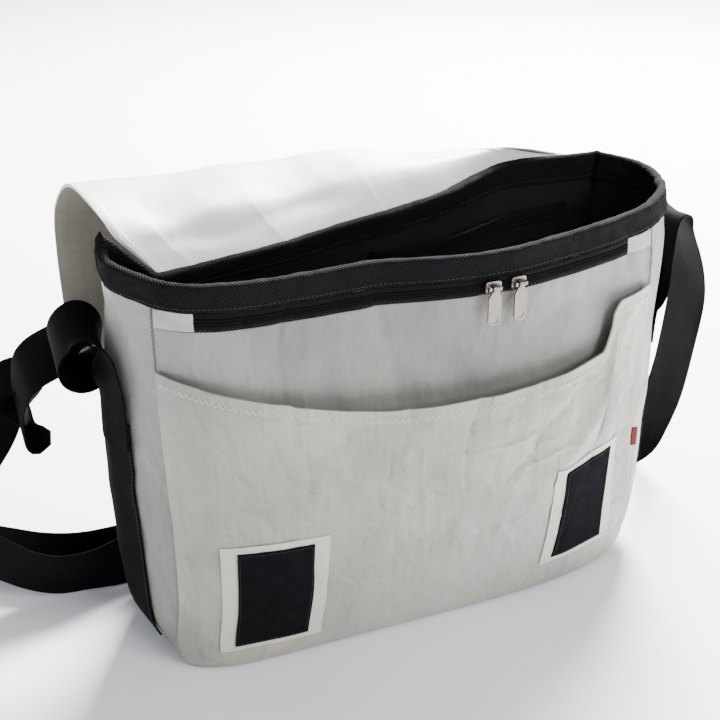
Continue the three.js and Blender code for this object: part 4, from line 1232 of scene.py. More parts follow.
# ------------------------------------------------------------------ body
@dataclass
class BodyShell:
    """The outer walls: four sewn panels and a bottom.

    Attributes:
        form: The bag's form.
        wall: Thickness of the sailcloth.
        seam: Gap at a seam.
        zip_drop: Distance of the zip's seam below the rim.
        thread: Half the thickness of the seams' thread.
    """

    form: BagForm
    wall: float = 1.6
    seam: float = 0.35
    zip_drop: float = 30.0
    thread: float = 0.42

    def panel(
        self, name: str, start: float, end: float, columns: int, seed: int
    ) -> bpy.types.Object:
        """One panel: the form's outside, with puckers beside its seams and soft folds.

        Args:
            name: Node's name.
            start: First column.
            end: Last column.
            columns: How many columns the mesh has.
            seed: Seed of its folds.

        Returns:
            The object.
        """
        c = spread(start, end, columns)[None, :]
        h = spread(0, 1, 110)[:, None]
        edge = np.minimum(c - start, end - c)
        c2, h2 = np.broadcast_arrays(c, h)
        base = self.form.place(c2, h2)
        flat = flat_map(base) / MM
        u, v = flat[..., 0], flat[..., 1]
        width = u[:, -1:]
        near = np.minimum(u, width - u)
        inside = smooth(near / 9) * smooth(h2 / 0.05) * smooth((1 - h2) / 0.09)
        soft = ripple(u, v, 26, seed + 1, 1.5) * 0.25
        pucker = np.sin(v * 2 * np.pi / 13 + 2 * ripple(u * 0, v, 60, seed + 2))
        pucker = pucker * np.exp(-near / 8) * smooth(near / 2.5) * 0.45
        below = (1 - h2) * self.form.rim_height - self.zip_drop
        gather = np.sin(u * 2 * np.pi / 21 + 3 * ripple(u, u * 0, 90, seed + 4))
        soft = soft + 0.5 * gather * np.exp(-np.abs(below) / 16) * smooth(below / 3)
        lift = soft * inside + pucker * smooth(h2 / 0.04) * smooth((1 - h2) / 0.09)
        roll = -0.9 * np.exp(-near / 1.3)
        grid = self.form.at(c2, h2, np.clip(lift + roll, -0.6, 0.3))
        tuck = self.seam * smooth((0.6 - edge) / 0.6)
        way = unit(self.form.place(c2 + 0.2, h2) - self.form.place(c2 - 0.2, h2))
        sign = np.where(c2 - start < end - c2, 1, -1)
        grid = grid + way * (tuck * sign)[..., None]
        mesh = slab(grid, grid - self.form.outward(c2, h2) * self.wall, flat=flat_map(base))
        return Piece(name + "_cloth", [name], Finish.SAILCLOTH).dress(mesh)

    def bottom(self) -> bpy.types.Object:
        """The bottom panel: the lowest ring drawn in to its middle, lying on the floor.

        Returns:
            The object.
        """
        c = spread(0, RING, 241)[:-1]
        ring = self.form.place(c, np.zeros_like(c))
        middle = ring.mean(0)
        shares = np.array([1.0, 0.985, 0.8, 0.5, 0.2, 0.01])[:, None, None]
        grid = middle + (ring - middle) * shares
        lower = grid.copy()
        grid[..., 2] = self.wall
        lower[..., 2] = 0.0
        lower[0, :, 2] = 0.5
        piece = Piece("bottom_cloth", ["bottom_panel"], Finish.SAILCLOTH)
        return piece.dress(slab(grid, lower, True))

    def sew(self) -> None:
        """Thread sunk in the four upright seams: dark and almost unbroken, it is the stitching and
        also paints the shade line along each seam.
        """
        for k, column in enumerate((0, RIGHT_FRONT, RIGHT_BACK, LEFT_BACK)):
            h = spread(0.01, self.form.level_of(14), 200)
            c = np.full_like(h, column)
            path = self.form.at(c, h, 0.5)
            mesh = stitch_row(path, self.form.outward(c, h), 3.0, self.thread, 0.96)
            sewn(f"seam_thread_and_shade_{k}", Finish.SAILCLOTH, mesh, SEAM_THREAD_AND_SHADE)

    def build(self) -> None:
        """Makes the four walls, the bottom and their seams."""
        self.sew()
        self.panel("front_panel", 0, RIGHT_FRONT, 200, 11)
        self.panel("gusset_right", RIGHT_FRONT, RIGHT_BACK, 70, 21)
        self.panel("back_panel", RIGHT_BACK, LEFT_BACK, 190, 31)
        self.panel("gusset_left", LEFT_BACK, RING, 70, 41)
        self.bottom()


@dataclass
class Lining:
    """The black inner bag with its bound pocket.

    Attributes:
        form: The bag's form.
        inside: Offset of its inner face.
        wall: Its thickness.
        pocket_start: Column of the pocket's right side.
        pocket_end: Column of its left side.
        pocket_drop: Distance of its mouth below the rim.
        pocket_tall: Its height.
        pocket_wide: Width of its cloth, in metres; not used.
        pocket_stand: How far its mouth stands open.
        tape_tall: Height of the tape on its mouth.
    """

    form: BagForm
    inside: float = -3.4
    wall: float = 1.1
    pocket_start: float = 29.0
    pocket_end: float = 36.6
    pocket_drop: float = 32.0
    pocket_tall: float = 130.0
    pocket_wide: float = 0.192
    pocket_stand: float = 15.0
    tape_tall: float = 11.0

    def bag(self) -> bpy.types.Object:
        """Inner bag: a floor from its middle outwards, then walls up to the rim.

        Returns:
            The object.
        """
        c = spread(0, RING, 301)[:-1][None, :]
        h = np.concatenate([[0, 0.004, 0.012], spread(0.03, self.form.level_of(0.6), 70)])[:, None]
        c2, h2 = np.broadcast_arrays(c, h)
        base = self.form.taut(c2, h2)
        slack = swells(base, 60, 51, 1.4) * 1.1 + swells(base, 24, 52) * 0.5 - 1.8
        slack = np.minimum(slack, 0) * smooth(h2 / 0.08) * smooth((0.93 - h2) / 0.1)
        walls = self.form.at(c2, h2, self.inside + slack)
        ring = walls[0]
        middle = ring.mean(0)
        floor = middle + (ring - middle) * np.array([0.01, 0.4, 0.8])[:, None, None]
        grid = np.concatenate([floor, walls])
        grid[:4, :, 2] += self.wall
        outer = self.form.at(c2, h2, self.inside + self.wall)
        under = np.concatenate([floor, outer])
        under[:3, :, 2] = self.form.base_lift
        return Piece("lining_cloth", ["lining"], Finish.LINING).dress(slab(grid, under, True))

    def pocket_at(self, c: Array, v: Array, extra: float) -> Array:
        """Inner pocket's face: it stands off the lining most at its mouth's middle.

        Args:
            c: Columns.
            v: Share of the pocket's height.
            extra: Distance more into the bag.

        Returns:
            Points.
        """
        top = self.pocket_drop / self.form.rim_height
        tall = self.pocket_tall / self.form.rim_height
        share = (c - self.pocket_start) / (self.pocket_end - self.pocket_start)
        belly = np.sin(np.pi * np.clip(share, 0, 1)) ** 0.8 * smooth(v / 0.9)
        stand = self.pocket_stand * belly + 0.7
        return self.form.at(c, 1 - top - tall * (1 - v), self.inside - stand - extra)

    def pocket(self) -> None:
        """Inner pocket, its bound upper edge and its two rows of stitches."""
        c = spread(self.pocket_start, self.pocket_end, 90)[None, :]
        v = spread(0, 1, 60)[:, None]
        c2, v2 = np.broadcast_arrays(c, v)
        grid = self.pocket_at(c2, v2, 1.1)
        back = self.pocket_at(c2, v2, 0.0)
        body = Piece("inner_pocket_cloth", ["inner_pocket"], Finish.LINING).dress(slab(grid, back))
        low = 1 - self.tape_tall / self.pocket_tall
        t = spread(low, 1.004, 14)[:, None]
        c3, t3 = np.broadcast_arrays(c, t)
        bulge = 0.35 * np.sin(np.pi * np.clip((t3 - low) / (1 - low), 0, 1)) ** 0.5
        front = self.pocket_at(c3, t3, 3.1) - bulge[..., None] * (0, 1, 0)
        tape = Piece("inner_pocket_tape", ["inner_pocket_binding"], Finish.BINDING)
        tape.dress(slab(front, self.pocket_at(c3, t3, 1.9)))
        flat_back = np.tile((0.0, -1.0, 0.0), (90, 1))
        for name, level, extra in (("tape", low + 0.012, 3.25), ("face", low - 0.09, 1.2)):
            path = self.pocket_at(c[0], np.full(90, level), extra)
            mesh = stitch_row(path, flat_back, 3.2, 0.28)
            sewn(f"inner_pocket_stitches_{name}", Finish.LINING, mesh, BLACK_THREAD)

    def build(self) -> None:
        """Makes the inner bag and its pocket."""
        self.bag()
        self.pocket()


@dataclass
class RimBinding:
    """Black tape folded over the rim.

    Attributes:
        form: The bag's form.
        drop: How far it reaches down.
        outside: Offset of its outer face.
        inside: Offset of its inner face.
        crown: Height of its fold above the rim.
        wall: Its thickness.
        hem: Distance of its stitches from its edge.
        column: Usual width of a column of the ring.
    """

    form: BagForm
    drop: float = 16.0
    outside: float = 2.0
    inside: float = -5.4
    crown: float = 3.4
    wall: float = 1.2
    hem: float = 2.4
    column: float = 20.0

    def profile(self) -> tuple[Array, Array]:
        """Offset and drop along the fold: up the outside, over a half circle, and down inside.

        Returns:
            Offsets and drops, in millimetres.
        """
        radius = (self.outside - self.inside) / 2
        centre = (self.outside + self.inside) / 2
        turn = spread(0, np.pi, 15)
        rise = self.crown - radius * 0.75
        arc_offset = centre + radius * np.cos(turn)
        arc_drop = -(rise + radius * 0.75 * np.sin(turn))
        fall = spread(self.drop, -rise, 12)[:-1]
        offsets = np.concatenate([np.full(11, self.outside), arc_offset, np.full(11, self.inside)])
        drops = np.concatenate([fall, arc_drop, fall[::-1]])
        return offsets, drops

    def build(self) -> None:
        """Makes the folded tape, with its overlap at the back, and its stitches."""
        offsets, drops = self.profile()
        c = spread(0, RING, 601)[:-1]
        c2, offset = np.broadcast_arrays(c[None, :], offsets[:, None])
        drop = np.broadcast_to(drops[:, None], c2.shape)
        along = c2 * self.column
        tight = np.where((c2 > 43) | (c2 < 2) | (np.abs(c2 - 25) < 4), 1.0, 0.45)
        wobble = ripple(along, drop, 22, 61) * 0.5 + ripple(along, drop, 8, 62) * 0.42 * tight
        lap = smooth((c2 - 35.6) / 0.08) * smooth((37.0 - c2) / 0.5) * 0.9
        outer_side = np.where(offset > -1.7, 1.0, -1.0)
        edge = np.sin(along * 2 * np.pi / 37) * 0.25 + ripple(along, along * 0, 30, 63) * 0.35
        drop = drop + edge * smooth(drop / self.drop)
        shape = offset + outer_side * (np.maximum(wobble, -0.35) + lap)
        grid = self.form.at(c2, self.form.level_of(drop), shape)
        keep = outer_side * self.wall
        flat_drop = np.maximum(drop, -self.crown + self.wall + 0.4)
        under = self.form.at(c2, self.form.level_of(flat_drop), shape - keep)
        Piece("rim_tape", ["rim_binding"], Finish.BINDING).dress(slab(grid, under, True))
        cc = spread(0, RING, 900)
        level = np.full_like(cc, self.form.level_of(self.drop - self.hem))
        for name, reach, side in (("outer", self.outside, 1), ("inner", self.inside, -1)):
            path = self.form.at(cc, level, reach + 0.2 * side)
            mesh = stitch_row(path, self.form.outward(cc, level) * side, 3.4, 0.28)
            sewn(f"rim_stitches_{name}", Finish.BINDING, mesh, BLACK_THREAD)


@dataclass
class Zip:
    """The closed zip on the front: two tapes, a coil of teeth and a folded end tab each side.

    Attributes:
        form: The bag's form.
        top: Where its band begins below the rim.
        band: Height of the band.
        coil: Width of the coil.
        inset: Distance of its ends from the seams.
        tab: Distance of the tabs from the seams.
        gap: Offset of its back.
        tooth: Distance from one tooth to the next.
        tape: Thickness of its tapes.
        fold: Thickness of its end tabs.
    """

    form: BagForm
    top: float = 16.4
    band: float = 13.1
    coil: float = 4.6
    inset: float = 30.0
    tab: float = 3.0
    gap: float = 0.7
    tooth: float = 1.5
    tape: float = 1.0
    fold: float = 1.3

    def columns(self, start: float, end: float, count: int) -> Array:
        """Even columns along the zip.

        Args:
            start: Distance of the first from the left seam.
            end: Distance of the last from the right seam.
            count: How many.

        Returns:
            The columns.
        """
        level = self.form.level_of(self.top)
        first = self.form.walk(level, 0.0, np.array([start]))[0, 0]
        last = self.form.walk(level, float(RIGHT_FRONT), np.array([-end]))[0, 0]
        return spread(first, last, count)

    def strip(
        self, name: str, finish: Finish, drops: tuple[float, float], cs: Array, wall: float,
        bulge: float, seed: int,
    ) -> bpy.types.Object:
        """A strip of cloth on the front.

        Args:
            name: Node's name.
            finish: Its finish.
            drops: Its upper and lower edge below the rim.
            cs: Its columns.
            wall: Its thickness.
            bulge: How far its middle stands out.
            seed: Seed of its unevenness.

        Returns:
            The object.
        """
        drop = spread(drops[1], drops[0], 10)[:, None]
        c2, d2 = np.broadcast_arrays(cs[None, :], drop)
        share = (d2 - drops[0]) / (drops[1] - drops[0])
        uneven = ripple(c2 * FRONT_COLUMN_WIDTH, d2, 20, seed) * 0.12
        out = bulge * np.sin(np.pi * share) ** 0.6 + uneven
        level = self.form.level_of(d2)
        face = self.form.at(c2, level, self.gap + wall + out)
        back = self.form.at(c2, level, self.gap)
        return Piece(name + "_cloth", [name], finish, bevel=0.0002).dress(slab(face, back))

    def teeth(self, cs: Array) -> bpy.types.Object:
        """The coil: a strip whose face rises in two rows of slanted teeth beside a groove.

        The height is a sine along the zip, shifted by half a tooth between the two rows,
        times a hump across each row.

        Args:
            cs: Columns along it.

        Returns:
            The object.
        """
        low = self.top + (self.band + self.coil) / 2
        high = self.top + (self.band - self.coil) / 2
        drop = spread(low, high, 15)[:, None]
        c2, d2 = np.broadcast_arrays(cs[None, :], drop)
        level = self.form.level_of(d2)
        base = self.form.at(c2, level, self.gap)
        length = flat_map(base)[..., 0] / MM
        share = (d2 - high) / (low - high)
        row = np.abs(np.sin(2 * np.pi * share))
        slant = np.where(share < 0.5, 0.0, 0.5) * self.tooth + share * 1.2
        bead = 0.5 + 0.5 * np.cos(2 * np.pi * (length - slant) / self.tooth)
        out = 0.9 + row**0.6 * (0.5 + 0.55 * bead**1.5)
        face = self.form.at(c2, level, self.gap + out)
        return Piece("zip_coil_teeth", ["zip_coil"], Finish.ZIP).dress(slab(face, base))

    def build(self) -> None:
        """Makes the zip's cloths, its coil, its stitches and its two end tabs."""
        cs = self.columns(self.inset, self.inset, 260)
        low = self.top + self.band
        coil_top = self.top + (self.band - self.coil) / 2 - 0.15
        coil_low = self.top + (self.band + self.coil) / 2 + 0.15
        self.strip("zip_tape_upper", Finish.ZIP, (self.top, coil_top), cs, self.tape, 0.35, 71)
        self.strip("zip_tape_lower", Finish.ZIP, (coil_low, low), cs, self.tape, 0.35, 72)
        self.teeth(self.columns(self.inset, self.inset, 1150))
        left = self.columns(self.tab, 0.0, 2)[0]
        right = self.columns(0.0, self.tab, 2)[1]
        wide = spread(left, cs[0] - 0.02, 30)
        self.strip("zip_end_left", Finish.ZIP_END, (self.top, low), wide, self.fold, 0.2, 73)
        wide = spread(cs[-1] + 0.02, right, 30)
        self.strip("zip_end_right", Finish.ZIP_END, (self.top, low), wide, self.fold, 0.2, 74)
        level = np.full_like(cs, self.form.level_of(low - 1.4))
        path = self.form.at(cs, level, self.gap + 1.12)
        mesh = stitch_row(path, self.form.outward(cs, level), 3.0, 0.26)
        sewn("zip_stitches", Finish.ZIP, mesh, BLACK_THREAD)
        # Dark seam thread just under the zip's lower tape, almost unbroken: the seam's stitching,
        # and also a painted shade line under the tape's edge.
        wide = spread(left, right, 400)
        level = np.full_like(wide, self.form.level_of(low + 0.8))
        path = self.form.at(wide, level, 0.45)
        mesh = stitch_row(path, self.form.outward(wide, level), 3.0, 0.38, 0.97)
        sewn("zip_seam_thread_and_shade", Finish.SAILCLOTH, mesh, SEAM_THREAD_AND_SHADE)


# ------------------------------------------------------------------ front pocket
@dataclass
class FrontPocket:
    """The thin slip pocket over the whole front, with its hem and its two fastener patches.

    Attributes:
        form: The bag's form.
        gap: Offset of its back from the front panel.
        wall: Its thickness.
        stand: How far its mouth stands open.
        end_height: Height of its upper edge at the seams.
        dip: How far the edge dips between them.
        hem: Height of its hem.
        usual_height: Height that its creases are spaced for.
        flat: Width and length of its cut, in metres; not used.
        flat_area: Area of its cut, less the dip, in square metres; not used.
        margin: How far a reinforcement reaches past its fastener.
        fastener: Width and height of a fastener.
        fasteners: Side, X of the left edge and Z of the upper edge of each.
        folds: Long soft folds: where across and up, run across and up, spread, depth.
        creases: Sharp creases: start across and up, end across and up, width, depth.
    """

    form: BagForm
    gap: float = 0.7
    wall: float = 1.3
    stand: float = 17.0
    end_height: float = 250.0
    dip: float = 44.0
    hem: float = 11.0
    usual_height: float = 230.0
    flat: tuple[float, float] = (0.405, 0.25)
    flat_area: float = 0.0900
    margin: float = 11.0
    fastener: tuple[float, float] = (56.0, 86.0)
    fasteners: Sequence[tuple[str, float, float]] = (
        ("left", -150.0, 112.0), ("right", 113.0, 122.0),
    )
    folds: Sequence[tuple[float, ...]] = (
        (0.83, 0.72, -0.20, -0.40, 0.030, 0.34),
        (0.93, 0.62, -0.08, -0.35, 0.025, 0.24),
        (0.70, 0.52, 0.16, 0.07, 0.045, -0.22),
        (0.66, 0.22, 0.20, 0.09, 0.045, -0.20),
    )
    creases: Sequence[tuple[float, ...]] = (
        (0.52, 0.78, 0.74, 0.80, 0.006, 1.3),
        (0.60, 0.64, 0.80, 0.70, 0.007, 1.5),
        (0.60, 0.64, 0.63, 0.54, 0.006, 1.1),
        (0.55, 0.36, 0.72, 0.46, 0.006, -1.3),
        (0.74, 0.36, 0.88, 0.40, 0.006, 1.3),
        (0.40, 0.95, 0.41, 0.10, 0.005, -0.8),
        (0.46, 0.90, 0.47, 0.30, 0.005, 0.7),
        (0.52, 0.78, 0.55, 0.60, 0.006, 1.0),
        (0.10, 0.60, 0.24, 0.80, 0.010, 0.9),
        (0.30, 0.30, 0.42, 0.42, 0.008, -0.8),
        (0.70, 0.20, 0.62, 0.50, 0.007, 0.9),
        (0.86, 0.55, 0.92, 0.30, 0.007, 1.0),
        (0.82, 0.95, 0.60, 0.55, 0.020, -1.8),
        (0.91, 0.92, 0.80, 0.60, 0.018, 1.7),
        (0.20, 0.92, 0.34, 0.70, 0.014, 1.2),
    )

    def edge(self, u: Array) -> Array:
        """Height share of the pocket's edge: a long dip that ends steeply at the right.

        Args:
            u: Share of the front's width.

        Returns:
            Shares of the rim's height.
        """
        left = np.sin(np.minimum(u / 0.5, 1) * np.pi / 2) ** 1.1
        right = smooth((0.905 - u) / 0.05) * mix(0.85, 1, smooth((0.85 - u) / 0.15))
        return (self.end_height - self.dip * left * right) / self.form.rim_height

    def fold(self, u: Array, v: Array) -> Array:
        """Long soft folds, each a bell across its line times a bell along it.

        Args:
            u: Share of the front's width.
            v: Share of the pocket's height.

        Returns:
            Shares of the mouth's stand to add.
        """
        depth = np.zeros_like(u)
        for across, up, run_u, run_v, half, share in self.folds:
            length = math.hypot(run_u, run_v)
            along = ((u - across) * run_u + (v - up) * run_v) / length
            aside = ((u - across) * run_v - (v - up) * run_u) / length
            depth += share * hump(aside, 0, half) * hump(along, 0, length / 1.6)
        held = smooth((u - 0.76) / 0.06) * smooth((0.99 - u) / 0.05) * smooth((0.6 - v) / 0.12)
        return depth * (1 - 0.85 * held)

    def face(self, column: Array, v: Array, extra: Array | float = 0.0) -> Array:
        """Point of the pocket's outer face.

        Args:
            column: Column on the front, 0 to 22.
            v: Share of the pocket's height there.
            extra: Distance further out.

        Returns:
            Points in millimetres.
        """
        column = np.clip(column, 0.1, RIGHT_FRONT - 0.1)
        u = self.form.front_share(column)
        belly = np.sin(np.pi * u) ** 0.7 * smooth(v * self.edge(u) / 0.5)
        stand = self.stand * belly * (1 + self.fold(u, v))
        return self.form.at(column, v * self.edge(u), self.gap + self.wall + stand + extra)

    def normal(self, column: Array, v: Array) -> Array:
        """Normal of the face, out of the bag, from differences both ways.

        Args:
            column: Column on the front.
            v: Share of the pocket's height there.

        Returns:
            Unit normals.
        """
        across = self.face(column + 0.05, v) - self.face(column - 0.05, v)
        up = self.face(column, v + 0.01) - self.face(column, v - 0.01)
        return unit(np.cross(across, up))

    def crinkle(self, u: Array, v: Array) -> Array:
        """Paper-like relief of the thin cloth: sharp creases over soft waves.

        Args:
            u: Share of the front's width.
            v: Share of the pocket's height.

        Returns:
            Distances out of the face, in millimetres.
        """
        x, y = u * 2 * self.form.half_width, v * self.usual_height
        relief = ripple(x, y, 46, 81, 1.3) * 0.7 + ripple(x, y, 17, 82, 1.2) * 0.25
        relief = relief - 1.1 * np.exp(-np.abs(ripple(x, y, 62, 83)) / 0.07)
        relief = relief + 0.8 * np.exp(-np.abs(ripple(x, y, 48, 84, 0.7)) / 0.06)
        for u0, v0, u1, v1, width, depth in self.creases:
            relief = relief + 1.5 * depth * crease(u, v, (u0, v0), (u1, v1), width)
        inside = smooth(u / 0.03) * smooth((1 - u) / 0.03) * smooth(v / 0.06)
        return relief * inside

    def sheet(self) -> bpy.types.Object:
        """The pocket's cloth with its doubled hem, and the hem's zigzag.

        Returns:
            The cloth's object.
        """
        c = spread(0.0, RIGHT_FRONT, 210)[None, :]
        tall = self.form.rim_height * self.edge(self.form.front_share(c))
        rows = spread(0, 1, 130)[:, None]
        c2, v2 = np.broadcast_arrays(c, rows)
        u2 = self.form.front_share(c2)
        below = (1 - v2) * tall
        hem = 0.55 * smooth((self.hem - below) / 0.8)
        calm = smooth((below - 2) / 14)
        extra = self.crinkle(u2, v2) * calm + hem
        face = self.face(c2, v2, extra)
        back = self.face(c2, v2, extra - self.wall - hem * 0.5)
        mesh = slab(face, back, flat=flat_map(self.face(c2, v2)))
        body = Piece("front_pocket_cloth", ["front_pocket"], Finish.POCKET).dress(mesh)
        cc = spread(0.35, RIGHT_FRONT - 0.35, 700)
        uu = self.form.front_share(cc)
        level = 1 - (self.hem - 2.6) / (self.form.rim_height * self.edge(uu))
        path = self.face(cc, level, 0.62)
        mesh = zigzag_row(path, self.normal(cc, level), 2.3, 3.4, 0.22)
        sewn("front_pocket_zigzag", Finish.POCKET, mesh, PALE_THREAD)
        return body

    def rectangle(
        self, left: float, top: float, width: float, height: float
    ) -> tuple[Array, Array]:
        """Columns and heights that bound a rectangle of cloth on the pocket.

        Args:
            left: X of its left edge, halfway down.
            top: Z of its upper edge.
            width: Width along the cloth.
            height: Height.

        Returns:
            Two columns and two heights, the heights in millimetres.
        """
        c = spread(0.1, RIGHT_FRONT - 0.1, 800)
        line = self.face(c, self.share_at(c, np.full_like(c, top - height / 2)))
        length = lengths(line)
        start = np.interp(left, line[:, 0], c)
        end = np.interp(np.interp(start, c, length) + width, length, c)
        return np.array([start, end]), np.array([top - height, top])

    def share_at(self, column: Array, level: Array) -> Array:
        """Share of the pocket's height at a real height.

        Args:
            column: Column on the front.
            level: Height in millimetres.

        Returns:
            Shares of the pocket's height there.
        """
        lift = self.form.base_lift
        height = (level - lift) / (self.form.rim_height - lift)
        inside = np.clip(column, 0.1, RIGHT_FRONT - 0.1)
        return height / self.edge(self.form.front_share(inside))

    def patch(self, side: str, left: float, top: float) -> None:
        """A pale reinforcement with its zigzag, and the black fastener sewn on it.

        Args:
            side: left or right.
            left: X of the fastener's left edge.
            top: Z of its upper edge.
        """
        margin, (wide, tall) = self.margin, self.fastener
        cs, vs = self.rectangle(left - margin, top + margin / 2, wide + 2 * margin, tall + margin)
        c2, z2 = np.meshgrid(spread(*cs, 60), spread(*vs, 70))
        v2 = self.share_at(c2, z2)
        normal = self.normal(c2, v2)
        base = self.face(c2, v2)
        crisp = self.crinkle(self.form.front_share(c2), v2) * 0.5
        frame = base + normal * (1.3 + crisp)[..., None]
        name = f"reinforcement_{side}"
        piece = Piece(name + "_cloth", [name], Finish.REINFORCEMENT, bevel=0.0002)
        piece.dress(slab(frame, base + normal * 0.5))
        self.border(f"reinforcement_{side}_zigzag", cs, vs, 3.0, 1.4, PALE_THREAD, True)
        cs, vs = self.rectangle(left, top, wide, tall)
        c2, z2 = np.meshgrid(spread(*cs, 90), spread(*vs, 130))
        v2 = self.share_at(c2, z2)
        normal = self.normal(c2, v2)
        base = self.face(c2, v2)
        aside = np.minimum(c2 - cs[0], cs[1] - c2) * FRONT_COLUMN_WIDTH
        edge = np.minimum(aside, np.minimum(z2 - vs[0], vs[1] - z2))
        pile = np.random.default_rng(91).uniform(-0.25, 0.25, c2.shape) * smooth(edge / 2)
        selvedge = -0.35 * smooth((2.2 - edge) / 0.8)
        face = base + normal * (2.9 + pile + selvedge)[..., None]
        mesh = slab(face, base + normal * 1.2)
        Piece(f"fastener_{side}_hooks", [f"fastener_patch_{side}"], Finish.HOOKS).dress(mesh)
        self.border(f"fastener_{side}_stitches", cs, vs, 1.6, 2.75, BLACK_THREAD, False)

    def border(
        self, name: str, cs: Array, vs: Array, inset: float, lift: float, yarn: Moulded,
        zigzag: bool,
    ) -> None:
        """Stitches round a rectangle on the pocket.

        Args:
            name: Object's name.
            cs: Its two columns.
            vs: Its two heights.
            inset: Distance of the row from its edge.
            lift: Distance of the row from the pocket's face.
            yarn: The thread.
            zigzag: Whether the row is a zigzag.
        """
        dc = inset / FRONT_COLUMN_WIDTH
        low, high = vs[0] + inset, vs[1] - inset
        first, last = cs[0] + dc, cs[1] - dc
        across = ((first, last), (last, last), (last, first), (first, first))
        upward = ((low, low), (low, high), (high, high), (high, low))
        c = np.concatenate([spread(*side, 60) for side in across])
        z = np.concatenate([spread(*side, 60) for side in upward])
        keep = np.concatenate([[True], (np.abs(np.diff(c)) + np.abs(np.diff(z))) > 1e-9])
        c, z = c[keep], z[keep]
        v = self.share_at(c, z)
        normals = self.normal(c, v)
        path = self.face(c, v) + normals * lift
        if zigzag:
            mesh = zigzag_row(path, normals, 1.9, 2.2, 0.2)
        else:
            mesh = stitch_row(path, normals, 2.6, 0.24)
        sewn(name, Finish.REINFORCEMENT if zigzag else Finish.HOOKS, mesh, yarn)

    def build(self) -> None:
        """Makes the pocket and both patches."""
        body = self.sheet()
        for side, left, top in self.fasteners:
            self.patch(side, left, top)


